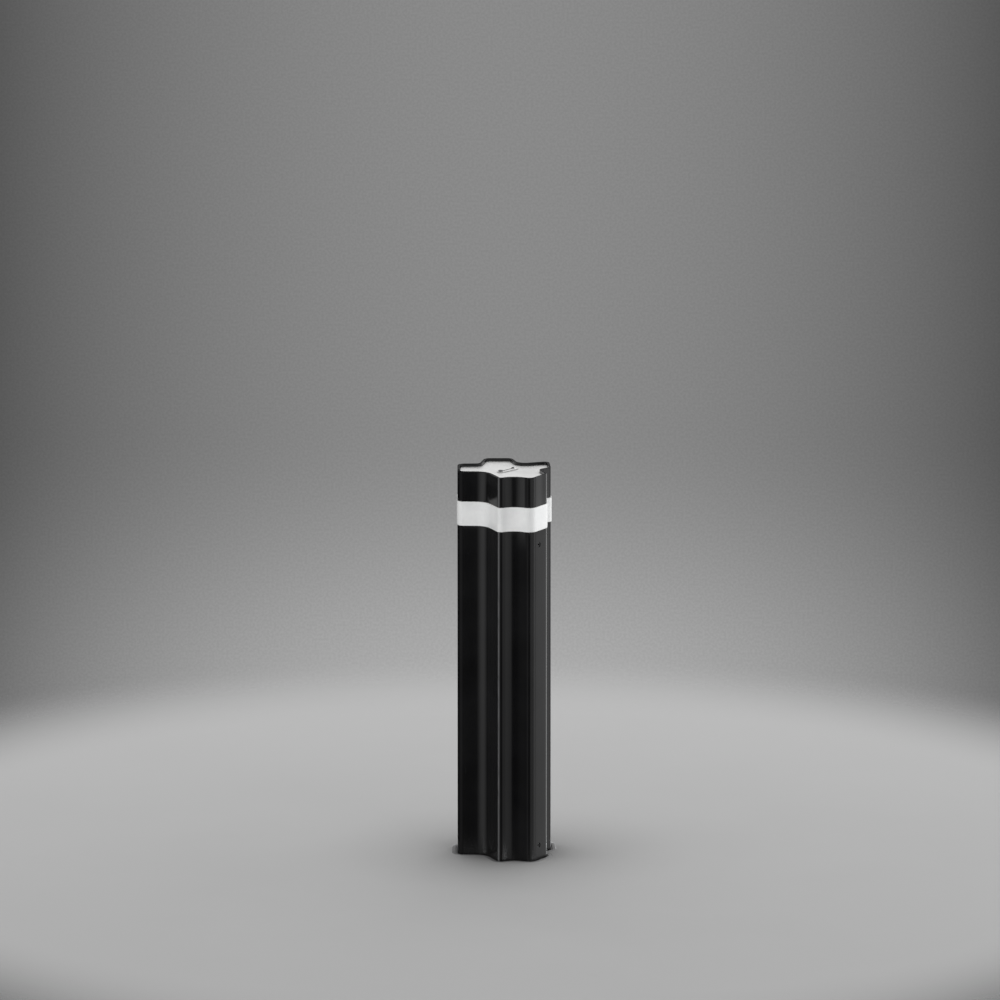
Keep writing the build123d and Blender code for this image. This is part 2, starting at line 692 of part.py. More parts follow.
with BuildPart() as end_sensors:
    with BuildSketch(Plane.YZ.offset(RAIL_FACE_X)):
        with Locations(*[(0, z) for z in SENSOR_HEIGHTS]):
            RectangleRounded(26, 12, 2)
    extrude(amount=5.8)
save(end_sensors, "end_sensors")

# junction box below the drive plate, open on its left side, with holes for the supply
# cable (back), the motor cable (bottom) and the sensor cables (top)
BOX_WIDTH = 100
BOX_DEPTH = 44
BOX_WALL = 3
BOX_OPEN_X = BOX_X - BOX_DEPTH / 2
BOX_BOTTOM = DRIVE_BOTTOM - BOX_HEIGHT
MOTOR_CABLE_X = -75
SENSOR_CABLE_X = -95
SENSOR_CABLE_Y = 17
with BuildPart() as junction_box:
    with BuildSketch(level(BOX_BOTTOM)):
        with Locations((BOX_X, 0)):
            Rectangle(BOX_DEPTH, BOX_WIDTH)
    extrude(amount=BOX_HEIGHT)
    fillet(junction_box.edges().filter_by(Axis.Z).group_by(Axis.X)[-1], radius=4)
    with BuildSketch(Plane.YZ.offset(BOX_OPEN_X)):
        with Locations((0, BOX_Z)):
            Rectangle(BOX_WIDTH - 2 * BOX_WALL, BOX_HEIGHT - 2 * BOX_WALL)
    extrude(amount=BOX_DEPTH - BOX_WALL, mode=Mode.SUBTRACT)
    with BuildSketch(facing_back(BOX_WIDTH / 2 + 1, BOX_Z, x=BOX_X)):
        Circle(SUPPLY_CABLE_HOLE)
    extrude(amount=-6, mode=Mode.SUBTRACT)
    with BuildSketch(level(BOX_BOTTOM - 1)):
        circles([(MOTOR_CABLE_X, 0)], MOTOR_CABLE_HOLE)
    extrude(amount=6, mode=Mode.SUBTRACT)
    with BuildSketch(level(DRIVE_BOTTOM + 1)):
        circles([(SENSOR_CABLE_X, SENSOR_CABLE_Y), (SENSOR_CABLE_X, -SENSOR_CABLE_Y)], 2.0)
    extrude(amount=-6, mode=Mode.SUBTRACT)
save(junction_box, "junction_box")

LID_THICK = 3
LID_X = BOX_OPEN_X - LID_THICK
LID_SCREWS = [(y, BOX_Z + z) for y, z in     # (y, z)
              ((-48, -27.5), (48, -27.5), (48, 27.5), (-48, 27.5))]
with BuildPart() as junction_box_lid:
    with BuildSketch(Plane.YZ.offset(LID_X)):
        with Locations((0, BOX_Z)):
            RectangleRounded(BOX_WIDTH, BOX_HEIGHT, 5)
        holes(LID_SCREWS, 1.3)
    extrude(amount=LID_THICK)
    fillet(junction_box_lid.faces().sort_by(Axis.X)[0].outer_wire().edges(), radius=1.2)
save(junction_box_lid, "junction_box_lid")

LID_HEAD_HEIGHT = 2
with BuildPart() as lid_screws:
    with BuildSketch(Plane.YZ.offset(LID_X - LID_HEAD_HEIGHT)):
        circles(LID_SCREWS, 2.4)
    extrude(amount=LID_HEAD_HEIGHT)
    with BuildSketch(Plane.YZ.offset(LID_X)):
        circles(LID_SCREWS, 1.25)
    extrude(amount=LID_THICK)
save(lid_screws, "lid_screws")

# cables: from the conduit to the junction box, from there to the motor, and from the
# two sensors to the junction box
supply_cable = round_rods(radius=SUPPLY_CABLE_RADIUS, bend=10.8, routes=[
    [(0, 160, CONDUIT_Z), (0, 105, CONDUIT_Z), (0, 105, -380),
     (BOX_X, 108, -560), (BOX_X, 108, BOX_Z), (BOX_X, 44, BOX_Z)]])
save(supply_cable, "supply_cable")

motor_cable = round_rods(radius=MOTOR_CABLE_RADIUS, bend=18, routes=[
    [(MOTOR_CABLE_X, 0, -736), (MOTOR_CABLE_X, 0, TERMINAL_Z), (4, 0, TERMINAL_Z)]])
save(motor_cable, "motor_cable")

sensor_cables = round_rods(radius=1.8, bend=3, routes=[
    [(SENSOR_CABLE_X, 13 * side, z), (SENSOR_CABLE_X, SENSOR_CABLE_Y * side, z),
     (SENSOR_CABLE_X, SENSOR_CABLE_Y * side, -692)]
    for side, z in zip((1, -1), SENSOR_HEIGHTS)])
save(sensor_cables, "sensor_cables")

# ================================================================ rising column

# set screws: two on the right flank of the front lobe, two on the back of the left
# lobe, each level with a bridge plate inside; x on these planes is the height
FLANK_RIGHT = Plane(origin=(44.5, -48.12, 0), x_dir=(0, 0, 1), z_dir=(0.848, -0.53, 0))
FLANK_LEFT = Plane(origin=(-45.0, 27.91, 0), x_dir=(0, 0, 1), z_dir=(-0.0407, 0.9992, 0))
FLANKS = (FLANK_RIGHT, FLANK_LEFT)
SET_SCREWS = [(z, 0) for z in SET_SCREW_Z]

# column shell: one lobed tube with a step for the cap and a groove for the band
with BuildPart() as column_shell:
    with BuildSketch(level(SHELL_BOTTOM)):
        with BuildLine():
            lobed_wire(0)
        make_face()
        with BuildLine():
            lobed_wire(-WALL)
        make_face(mode=Mode.SUBTRACT)
    extrude(amount=RISE - SHELL_BOTTOM)
    with BuildSketch(level(CAP_BOTTOM)):
        with BuildLine():
            lobed_wire(-RIM)
        make_face()
    extrude(amount=RISE - CAP_BOTTOM + 1, mode=Mode.SUBTRACT)
    fillet(column_shell.edges().group_by(Axis.Z)[-1], radius=0.8)
    with BuildSketch(level(BAND_BOTTOM)):
        with BuildLine():
            lobed_wire(1)
        make_face()
        with BuildLine():
            lobed_wire(-BAND_GROOVE)
        make_face(mode=Mode.SUBTRACT)
    extrude(amount=BAND_TOP - BAND_BOTTOM, mode=Mode.SUBTRACT)
    for flank in FLANKS:
        with BuildSketch(flank.offset(1)):
            circles(SET_SCREWS, M6)
        extrude(amount=-9, mode=Mode.SUBTRACT)
save(column_shell, "column_shell")

# reflective band in its groove
BAND_END_GAP = 0.05
with BuildPart() as reflective_band:
    with BuildSketch(level(BAND_BOTTOM + BAND_END_GAP)):
        with BuildLine():
            lobed_wire(BAND_PROUD)
        make_face()
        with BuildLine():
            lobed_wire(-BAND_GROOVE)
        make_face(mode=Mode.SUBTRACT)
    extrude(amount=BAND_TOP - BAND_BOTTOM - 2 * BAND_END_GAP)
save(reflective_band, "reflective_band")

# recessed cap plate with holes for lock and pivot; only its outer top edge is rounded
BARREL_RADIUS = 6.0
PIVOT_RADIUS = 1.5


def away_from(edge, place, distance):
    """True where the edge's centre is farther than distance from place in x or in y."""
    centre = edge.center()
    return abs(centre.X - place[0]) > distance or abs(centre.Y - place[1]) > distance


with BuildPart() as cap_plate:
    with BuildSketch(level(CAP_BOTTOM)):
        with BuildLine():
            lobed_wire(-RIM - 0.2)
        make_face()
        holes([LOCK_XY], BARREL_RADIUS + CLOSE_FIT)
        holes([PIVOT_XY], PIVOT_RADIUS + CLOSE_FIT)
    extrude(amount=CAP_THICK)
    fillet(cap_plate.edges().group_by(Axis.Z)[-1]
           .filter_by(lambda e: away_from(e, LOCK_XY, 7))
           .filter_by(lambda e: away_from(e, PIVOT_XY, 3)), radius=0.5)
save(cap_plate, "cap_plate")


def insert(bottom, top, hole_sets, set_screw_heights=()):
    """Lobed block inside the shell, with holes given as (places, radius)."""
    with BuildPart() as block:
        with BuildSketch(level(bottom)):
            with BuildLine():
                lobed_wire(-INSERT_INSET)
            make_face()
            for places, radius in hole_sets:
                holes(places, radius)
        extrude(amount=top - bottom)
        for z in set_screw_heights:
            for flank in FLANKS:
                with BuildSketch(flank):
                    circles([(z, 0)], M6 + 0.02)
                extrude(amount=-18, mode=Mode.SUBTRACT)
    return block


# frame that carries the cap
head_insert = insert(HEAD_BOTTOM, CAP_BOTTOM, [(CENTRE, 23), (STUDS, M8 + CLOSE_FIT)])
save(head_insert, "head_insert")

# studs that tie the head insert to the upper bridge
with BuildPart() as head_studs:
    with BuildSketch(level(UPPER_BRIDGE_Z + 1)):
        circles(STUDS, M8)
    extrude(amount=84)
save(head_studs, "head_studs")

# upper bridge: bulkhead with stud holes; lower bridge: bulkhead with a central hole
# for the lead screw
upper_bridge = insert(UPPER_BRIDGE_Z, UPPER_BRIDGE_Z + BRIDGE_THICK,
                      [(STUDS, M8 + CLOSE_FIT)], [SET_SCREW_Z[1]])
save(upper_bridge, "upper_bridge")

lower_bridge = insert(LOWER_BRIDGE_Z, LOWER_BRIDGE_Z + BRIDGE_THICK,
                      [(CENTRE, 14)], [SET_SCREW_Z[0]])
save(lower_bridge, "lower_bridge")

SET_SCREW_SINK = 1.2        # below the shell's surface
with BuildPart() as shell_set_screws:
    for flank in FLANKS:
        with BuildSketch(flank.offset(-SET_SCREW_SINK)):
            circles(SET_SCREWS, M6 - 0.02)
        extrude(amount=-15)
        with BuildSketch(flank.offset(-SET_SCREW_SINK)):
            hexagons(SET_SCREWS, 1.75)
        extrude(amount=-3, mode=Mode.SUBTRACT)
save(shell_set_screws, "shell_set_screws")

# foot insert closes the shell's lower end and takes the foot screws
foot_insert = insert(FOOT_TOP, FOOT_TOP + 30,
                     [(CENTRE, 19), (FOOT_SCREWS, M8 + CLOSE_FIT)])
save(foot_insert, "foot_insert")

# foot plate slides on the four guide bars
NUT_RADIUS = 18
NUT_FLANGE = 8
with BuildPart() as foot_plate:
    with BuildSketch(level(FOOT_BOTTOM)):
        RectangleRounded(FOOT_SIZE, FOOT_SIZE, 14)
        Circle(NUT_RADIUS + CLOSE_FIT, mode=Mode.SUBTRACT)
        holes(BARS, BUSH_RADIUS + CLOSE_FIT)
        holes(FOOT_SCREWS, M8 + WIDE_FIT)
        holes(NUT_SCREWS, M5 + CLOSE_FIT)
    extrude(amount=FOOT_THICK)
save(foot_plate, "foot_plate")

foot_screws = socket_head_screws(
    shank=M8, head=6.5, head_height=8, socket=3.46, socket_depth=4,
    screw_sets=[(FOOT_SCREWS, FOOT_BOTTOM, 38, -1)])
save(foot_screws, "foot_screws")

# flanged bushes in the foot plate, around the guide bars
BUSH_FLANGE = 3
BUSH_BELOW = 10             # length below the foot plate
with BuildPart() as guide_bushes:
    with BuildSketch(level(FOOT_BOTTOM - BUSH_BELOW)):
        circles(BARS, BUSH_RADIUS)
    extrude(amount=FOOT_THICK + BUSH_BELOW)
    with BuildSketch(level(FOOT_TOP)):
        circles(BARS, 14)
    extrude(amount=BUSH_FLANGE)
    with BuildSketch(level(FOOT_BOTTOM - BUSH_BELOW)):
        circles(BARS, BAR_RADIUS + CLOSE_FIT)
    extrude(amount=FOOT_THICK + BUSH_BELOW + BUSH_FLANGE, mode=Mode.SUBTRACT)
save(guide_bushes, "guide_bushes")

# bronze lead nut, flanged below the foot plate
NUT_LENGTH = 30             # above the flange
with BuildPart() as lead_nut:
    with BuildSketch(level(FOOT_BOTTOM)):
        Circle(NUT_RADIUS)
    extrude(amount=NUT_LENGTH)
    with BuildSketch(level(FOOT_BOTTOM - NUT_FLANGE)):
        Circle(28)
        holes(NUT_SCREWS, M5 + FREE_FIT)
    extrude(amount=NUT_FLANGE)
    with BuildSketch(level(FOOT_BOTTOM - NUT_FLANGE)):
        Circle(SCREW_RADIUS + 0.08)
    extrude(amount=NUT_LENGTH + NUT_FLANGE, mode=Mode.SUBTRACT)
save(lead_nut, "lead_nut")

nut_screws = socket_head_screws(
    shank=M5, head=4.3, head_height=5, socket=SOCKET_SMALL, socket_depth=2.6,
    screw_sets=[(NUT_SCREWS, FOOT_BOTTOM - NUT_FLANGE, 18, -1)])
save(nut_screws, "nut_screws")

# steel target on the foot plate's left edge that the end-position sensors see
TARGET_THICK = 3
with BuildPart() as sensor_target:
    with BuildSketch(Plane.YZ.offset(-FOOT_SIZE / 2 - TARGET_THICK)):
        with Locations((0, TARGET_Z)):
            Rectangle(20, FOOT_THICK)
    extrude(amount=TARGET_THICK)
save(sensor_target, "sensor_target")

# lock barrel in the cap, with the recess the key goes into
SPINDLE_RADIUS = 3.5
with BuildPart() as lock_barrel:
    with BuildSketch(level(HEAD_BOTTOM)):
        circles([LOCK_XY], BARREL_RADIUS)
    extrude(amount=CAP_TOP - HEAD_BOTTOM)
    with BuildSketch(level(HEAD_BOTTOM)):
        circles([LOCK_XY], SPINDLE_RADIUS + 0.06)
    extrude(amount=CAP_TOP - HEAD_BOTTOM, mode=Mode.SUBTRACT)
    with BuildSketch(level(CAP_TOP)):
        circles([LOCK_XY], 4.9)
    extrude(amount=-6, mode=Mode.SUBTRACT)
save(lock_barrel, "lock_barrel")

# pivot screw of the key cover
PIVOT_BELOW = 2             # shank below the cap plate
PIVOT_SEAT = 1.5            # underside of the head above the cap plate
PIVOT_HEAD = 1.1
with BuildPart() as cover_pivot:
    with BuildSketch(level(CAP_BOTTOM - PIVOT_BELOW)):
        circles([PIVOT_XY], PIVOT_RADIUS)
    extrude(amount=CAP_THICK + PIVOT_BELOW + PIVOT_SEAT)
    with BuildSketch(level(CAP_TOP + PIVOT_SEAT)):
        circles([PIVOT_XY], 3.0)
    extrude(amount=PIVOT_HEAD)
    fillet(cover_pivot.edges().group_by(Axis.Z)[-1], radius=0.5)
    with BuildSketch(level(CAP_TOP + PIVOT_SEAT + PIVOT_HEAD)):
        hexagons([PIVOT_XY], 1.1)
    extrude(amount=-0.9, mode=Mode.SUBTRACT)
save(cover_pivot, "cover_pivot")

# ================================================================ key cover (swivels)
# a slotted arm from pivot to lock, with a round pad and a small knob over the lock
TO_LOCK_X = LOCK_XY[0] - PIVOT_XY[0]
TO_LOCK_Y = LOCK_XY[1] - PIVOT_XY[1]
ARM_LENGTH = math.hypot(TO_LOCK_Y, TO_LOCK_X)
ARM_THICK = 1.4
ARM_PLANE = Plane(origin=(*PIVOT_XY, CAP_TOP + 0.05),
                  x_dir=(TO_LOCK_X / ARM_LENGTH, TO_LOCK_Y / ARM_LENGTH, 0),
                  z_dir=(0, 0, 1))
with BuildPart() as key_cover:
    with BuildSketch(ARM_PLANE):
        with Locations((ARM_LENGTH / 2, 0)):
            SlotCenterToCenter(ARM_LENGTH, 9.6)
        circles([(ARM_LENGTH, 0)], 6.6)
        Circle(PIVOT_RADIUS + CLOSE_FIT, mode=Mode.SUBTRACT)
    extrude(amount=ARM_THICK)
    fillet(key_cover.edges().group_by(Axis.Z)[-1].filter_by(lambda e: e.length > 12),
           radius=0.4)
    with BuildSketch(ARM_PLANE.offset(ARM_THICK)):
        circles([(ARM_LENGTH, 0)], 1.9)
    extrude(amount=1.0)
    fillet(key_cover.edges().group_by(Axis.Z)[-1], radius=0.6)
save(key_cover, "key_cover")

# ================================================================ quarter-turn lock
# spindle with a triangular key head
SPINDLE_BOTTOM = 473
SPINDLE_LENGTH = 18
with BuildPart() as lock_spindle:
    with BuildSketch(level(SPINDLE_BOTTOM)):
        circles([LOCK_XY], SPINDLE_RADIUS)
    extrude(amount=SPINDLE_LENGTH)
    with BuildSketch(level(SPINDLE_BOTTOM + SPINDLE_LENGTH)):
        with Locations(LOCK_XY):
            RegularPolygon(3.4, 3)
    extrude(amount=5.0)
save(lock_spindle, "lock_spindle")

CAM_ANGLE = math.radians(62)
CAM_PLANE = Plane(origin=(*LOCK_XY, 475.2),
                  x_dir=(math.cos(CAM_ANGLE), math.sin(CAM_ANGLE), 0), z_dir=(0, 0, 1))
with BuildPart() as lock_cam:
    with BuildSketch(CAM_PLANE):
        with Locations((4.5, 0)):
            SlotOverall(21, 11)
        Circle(SPINDLE_RADIUS, mode=Mode.SUBTRACT)
    extrude(amount=3)
save(lock_cam, "lock_cam")

# ================================================================ lead screw
# plain rod, with the steps below it as (bottom, top, radius): shoulder, bearing
# journal, gear seat and the end for the gear nut
ROD_BOTTOM = -664.0
SHOULDER_BOTTOM = BORE_TOP + 0.05
GEAR_SEAT_RADIUS = 7.5
SCREW_END_RADIUS = 6.0
SCREW_STEPS = [
    (SHOULDER_BOTTOM, ROD_BOTTOM, 11),
    (GEAR_TOP, SHOULDER_BOTTOM, 8.48),
    (GEAR_BOTTOM, GEAR_TOP, GEAR_SEAT_RADIUS),
    (GEAR_BOTTOM - 9, GEAR_BOTTOM, SCREW_END_RADIUS),
]
with BuildPart() as lead_screw:
    with BuildSketch(level(ROD_BOTTOM)):
        Circle(SCREW_RADIUS)
    extrude(amount=SCREW_TOP - ROD_BOTTOM)
    chamfer(lead_screw.edges().group_by(Axis.Z)[-1], length=2)
    for step_bottom, step_top, step_radius in SCREW_STEPS:
        with BuildSketch(level(step_bottom)):
            Circle(step_radius)
        extrude(amount=step_top - step_bottom)
save(lead_screw, "lead_screw")

# gear with a ring-shaped recess in each face
with BuildPart() as drive_gear:
    with BuildSketch(level(GEAR_BOTTOM)):
        with BuildLine():
            Polyline(*gear_outline(GEAR_TEETH, outer=34.9, root=32.15, thinning=0.08,
                                   turn=0.0), close=True)
        make_face()
        Circle(GEAR_SEAT_RADIUS + 0.02, mode=Mode.SUBTRACT)
    extrude(amount=GEAR_WIDTH)
    for face_z, inward in ((GEAR_TOP, -1), (GEAR_BOTTOM, 1)):
        with BuildSketch(level(face_z)):
            Circle(28)
            Circle(13, mode=Mode.SUBTRACT)
        extrude(amount=4 * inward, mode=Mode.SUBTRACT)
save(drive_gear, "drive_gear")

GEAR_NUT_HEIGHT = 7.5
with BuildPart() as gear_nut:
    with BuildSketch(level(GEAR_BOTTOM - GEAR_NUT_HEIGHT)):
        RegularPolygon(11, 6)
        Circle(SCREW_END_RADIUS + 0.02, mode=Mode.SUBTRACT)
    extrude(amount=GEAR_NUT_HEIGHT)
save(gear_nut, "gear_nut")

# ================================================================ motor pinion and shaft
# the pinion is wider than the gear by 1 mm at each end and turned by half a tooth
with BuildPart() as drive_pinion:
    with BuildSketch(Plane((MOTOR_X, 0, GEAR_BOTTOM - 1))):
        with BuildLine():
            Polyline(*gear_outline(PINION_TEETH, outer=12.4, root=9.65, thinning=0.08,
                                   turn=math.pi / PINION_TEETH), close=True)
        make_face()
        Circle(MOTOR_SHAFT_RADIUS + 0.02, mode=Mode.SUBTRACT)
    extrude(amount=GEAR_WIDTH + 2)
save(drive_pinion, "drive_pinion")

with BuildPart() as motor_shaft:
    with BuildSketch(level(-750)):
        circles(MOTOR_AXIS, MOTOR_SHAFT_RADIUS)
    extrude(amount=52)
    chamfer(motor_shaft.edges().group_by(Axis.Z)[-1], length=0.8)
save(motor_shaft, "motor_shaft")
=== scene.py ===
"""Rising column of lobed section, driven by a lead screw out of a buried ground unit.

The column stands on the Z axis and the ground is z = 0. The front is -Y, where the camera
stands, and +X is on the right. Meshes are laid out in millimetres; shaders, floor, lights and
camera are in metres.
"""

import json
import math

import bmesh
import bpy
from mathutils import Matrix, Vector, noise

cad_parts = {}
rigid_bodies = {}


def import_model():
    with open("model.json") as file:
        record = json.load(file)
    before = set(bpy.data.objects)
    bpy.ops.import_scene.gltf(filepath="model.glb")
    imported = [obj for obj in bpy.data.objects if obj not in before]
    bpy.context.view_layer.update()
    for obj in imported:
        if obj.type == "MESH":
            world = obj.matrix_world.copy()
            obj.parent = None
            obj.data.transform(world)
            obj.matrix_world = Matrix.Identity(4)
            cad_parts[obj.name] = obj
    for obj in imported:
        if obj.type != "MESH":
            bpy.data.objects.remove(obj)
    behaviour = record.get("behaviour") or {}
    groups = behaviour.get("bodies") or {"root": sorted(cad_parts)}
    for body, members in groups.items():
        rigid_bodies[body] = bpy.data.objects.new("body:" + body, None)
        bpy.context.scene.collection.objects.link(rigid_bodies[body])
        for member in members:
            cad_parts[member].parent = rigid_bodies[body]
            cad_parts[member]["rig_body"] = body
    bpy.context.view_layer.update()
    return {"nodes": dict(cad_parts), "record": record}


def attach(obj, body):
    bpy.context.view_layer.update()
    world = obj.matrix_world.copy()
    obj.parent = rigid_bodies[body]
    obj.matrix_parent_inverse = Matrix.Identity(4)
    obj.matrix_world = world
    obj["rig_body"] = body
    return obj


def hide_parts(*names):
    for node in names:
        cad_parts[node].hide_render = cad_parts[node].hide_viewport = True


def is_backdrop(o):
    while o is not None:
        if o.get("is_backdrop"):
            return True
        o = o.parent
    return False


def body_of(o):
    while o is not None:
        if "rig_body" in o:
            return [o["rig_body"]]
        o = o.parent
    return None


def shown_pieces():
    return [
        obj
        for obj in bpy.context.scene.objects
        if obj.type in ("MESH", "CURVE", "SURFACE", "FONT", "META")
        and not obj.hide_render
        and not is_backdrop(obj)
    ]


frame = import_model()
NODES = frame["nodes"]
SLOT_OF = {s["node"]: s["material_slot"] for s in frame["record"]["subparts"]}
MM = 0.001
SHARP = 32.0             # edges above this angle, in degrees, are shaded sharp

COLUMN_FOOT, COLUMN_TOP = -118.0, 500.0
COLUMN_WALL = 5.5
RIM_WALL, RIM_ROUND = 3.2, 0.8             # thinner wall above the cap's seat, rounded on top
GROOVE_LOW, GROOVE_HIGH, GROOVE_DEPTH = 429.5, 461.1, 0.38      # seat of the reflective band
CAP_TOP = 496.4
CAP_GAP, CAP_ROUND = 3.42, 0.5
PIVOT_XY, LOCK_XY = (-4.5, -8.0), (11.0, 10.4)                  # key cover's pivot and lock
COLLAR_INNER, COLLAR_OUTER, COLLAR_FOOT, COLLAR_ROUND = 2.0, 7.0, 8.3, 0.7
FLANGE_LOW, FLANGE_TOP = -24.0, -18.0
FLANGE_HALF, FLANGE_CORNER, FLANGE_CHAMFER = 82.0, 18.0, 0.4
FLANGE_HOLE_XY = 71

# ------------------------------------------------------------------ lobed outline
# Corners of the column's section, anticlockwise from above: x, y, corner radius
OUTLINE = [
    (-59.5, -20.2, 8), (-23.0, -22.5, 20), (-6.6, -60.6, 5), (12.4, -50.6, 24),
    (35.2, -63.0, 10), (55.2, -31.0, 12), (47.0, -6.4, 6), (59.6, 3.5, 6),
    (57.4, 41.5, 7), (18.5, 28.99, 12), (10.0, 60.0, 8), (-25.0, 60.0, 9),
    (-32.0, 28.62, 6), (-59.5, 27.5, 9),
]
ARC_DEGREES, LINE_PIECE = 5, 11            # target size of a step round a corner, along a side


def lobed_corners(offset):
    """Corners of the outline moved outwards: x, y, radius, turn angle, way in, way out."""
    count = len(OUTLINE)
    lines = []
    for i in range(count):
        x0, y0, _ = OUTLINE[i]
        x1, y1, _ = OUTLINE[(i + 1) % count]
        length = math.hypot(x1 - x0, y1 - y0)
        ux, uy = (x1 - x0) / length, (y1 - y0) / length
        lines.append((x0 + uy * offset, y0 - ux * offset, ux, uy))
    corners = []
    for i in range(count):
        ax, ay, aux, auy = lines[i - 1]
        bx, by, bux, buy = lines[i]
        turn = aux * buy - auy * bux
        reach = ((bx - ax) * buy - (by - ay) * bux) / turn
        angle = math.atan2(turn, aux * bux + auy * buy)
        radius = max(OUTLINE[i][2] + (offset if turn > 0 else -offset), 1.0)
        corners.append((ax + aux * reach, ay + auy * reach, radius, angle,
                        (aux, auy), (bux, buy)))
    return corners


ARC_STEPS = [max(4, math.ceil(abs(math.degrees(corner[3])) / ARC_DEGREES))
             for corner in lobed_corners(0)]
LINE_STEPS = [max(1, round(math.hypot(x1 - x0, y1 - y0) / LINE_PIECE))
              for (x0, y0, _), (x1, y1, _) in zip(OUTLINE, OUTLINE[1:] + OUTLINE[:1])]


def join_arcs(arcs, line_steps):
    """Closed loop of arcs joined by straight sides, each side in its number of steps."""
    points = []
    for i, (arc, steps) in enumerate(zip(arcs, line_steps)):
        points += arc
        last, nxt = arc[-1], arcs[(i + 1) % len(arcs)][0]
        for k in range(1, steps):
            points.append((last[0] + (nxt[0] - last[0]) * k / steps,
                           last[1] + (nxt[1] - last[1]) * k / steps))
    return points


def lobed_loop(offset):
    """Points of the outline moved outwards, the same number of points for every offset."""
    arcs = []
    for (x, y, radius, angle, way_in, _), steps in zip(lobed_corners(offset), ARC_STEPS):
        setback = radius * math.tan(abs(angle) / 2)
        start_x, start_y = x - way_in[0] * setback, y - way_in[1] * setback
        side = 1 if angle > 0 else -1
        cx, cy = start_x - way_in[1] * radius * side, start_y + way_in[0] * radius * side
        arc = []
        for k in range(steps + 1):
            a = angle * k / steps
            vx, vy = start_x - cx, start_y - cy
            arc.append((cx + vx * math.cos(a) - vy * math.sin(a),
                        cy + vx * math.sin(a) + vy * math.cos(a)))
        arcs.append(arc)
    return join_arcs(arcs, LINE_STEPS)


def rounded_square(half, radius, steps, side_steps):
    inner = half - radius
    arcs = []
    for q, (cx, cy) in enumerate([(inner, -inner), (inner, inner),
                                  (-inner, inner), (-inner, -inner)]):
        angles = [math.radians(-90 + 90 * q + 90 * k / steps) for k in range(steps + 1)]
        arcs.append([(cx + radius * math.cos(a), cy + radius * math.sin(a)) for a in angles])
    return join_arcs(arcs, [side_steps] * 4)


# ------------------------------------------------------------------ mesh helpers
def tidy(obj, sharp):
    """Merges doubles, drops loose vertices, turns normals outwards and marks sharp edges."""
    bm = bmesh.new()
    bm.from_mesh(obj.data)
    bmesh.ops.remove_doubles(bm, verts=bm.verts, dist=2e-6)
    bmesh.ops.dissolve_degenerate(bm, edges=bm.edges, dist=1e-6)
    loose = [v for v in bm.verts if not v.link_faces]
    bmesh.ops.delete(bm, geom=loose, context="VERTS")
    bmesh.ops.recalc_face_normals(bm, faces=bm.faces)
    bm.to_mesh(obj.data)
    bm.free()
    obj.data.polygons.foreach_set("use_smooth", [True] * len(obj.data.polygons))
    obj.data.set_sharp_from_angle(angle=math.radians(sharp))
    obj.data.update()


def obj_from(name, verts, faces, sharp=SHARP):
    """Mesh object from millimetre points, smooth shaded with sharp edges above an angle."""
    mesh = bpy.data.meshes.new(name)
    mesh.from_pydata([(x * MM, y * MM, z * MM) for x, y, z in verts], [], faces)
    mesh.update()
    obj = bpy.data.objects.new(name, mesh)
    bpy.context.scene.collection.objects.link(obj)
    tidy(obj, sharp)
    return obj


def end_caps(count, loops):
    """Faces over the first and the last of a stack of loops."""
    return [tuple(range(count - 1, -1, -1)),
            tuple((loops - 1) * count + i for i in range(count))]


def loft(name, loops, closed=False, sharp=SHARP):
    """Skins equal loops in turn; closed joins the last to the first, open caps both ends."""
    count = len(loops[0])
    faces = []
    for j in range(len(loops) if closed else len(loops) - 1):
        a, b = j * count, ((j + 1) % len(loops)) * count
        for i in range(count):
            k = (i + 1) % count
            faces.append((a + i, a + k, b + k, b + i))
    if not closed:
        faces += end_caps(count, len(loops))
    return obj_from(name, [p for loop in loops for p in loop], faces, sharp)


def ring(name, rows, closed=True, sharp=SHARP):
    """Sweeps an (offset, z) profile round the lobed outline."""
    return loft(name, [[(x, y, z) for x, y in lobed_loop(offset)] for offset, z in rows],
                closed, sharp)


def fillet_rows(offset, z, radius, start, end, steps=4):
    """Rows of a rounded corner about (offset, z); angles in degrees, 0 = outwards, 90 = up."""
    rows = []
    for k in range(steps + 1):
        a = math.radians(start + (end - start) * k / steps)
        rows.append((offset + radius * math.cos(a), z + radius * math.sin(a)))
    return rows


def turned_pin(name, origin, axis, rows, steps):
    """Turned solid with flat ends, from rows of (radius, distance along the axis)."""
    axis = Vector(axis).normalized()
    side = axis.orthogonal().normalized()
    other = axis.cross(side)
    origin = Vector(origin)
    verts, faces = [], []
    count = len(rows)
    for k in range(steps):
        a = 2 * math.pi * k / steps
        for radius, along in rows:
            verts.append(tuple(origin + axis * along + side * (radius * math.cos(a))
                               + other * (radius * math.sin(a))))
    for k in range(steps):
        a, b = k * count, ((k + 1) % steps) * count
        for j in range(count - 1):
            faces.append((a + j, b + j, b + j + 1, a + j + 1))
    faces.append(tuple(k * count for k in range(steps - 1, -1, -1)))
    faces.append(tuple(k * count + count - 1 for k in range(steps)))
    return obj_from(name, verts, faces)


def upright_cutter(xy, rows, steps):
    return turned_pin("cutter", (*xy, 0), (0, 0, 1), rows, steps)


def boolean(obj, cutters, operation="DIFFERENCE", sharp=SHARP):
    for cutter in cutters:
        mod = obj.modifiers.new("cut", "BOOLEAN")
        mod.object = cutter
        mod.operation = operation
        mod.solver = "EXACT"
        with bpy.context.temp_override(object=obj, active_object=obj):
            bpy.ops.object.modifier_apply(modifier=mod.name)
        bpy.data.objects.remove(cutter)
    tidy(obj, sharp)


def put(obj, body, slot, replaced=None, finish=None):
    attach(obj, body)
    if replaced:
        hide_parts(replaced)
    obj["slot"] = finish or slot


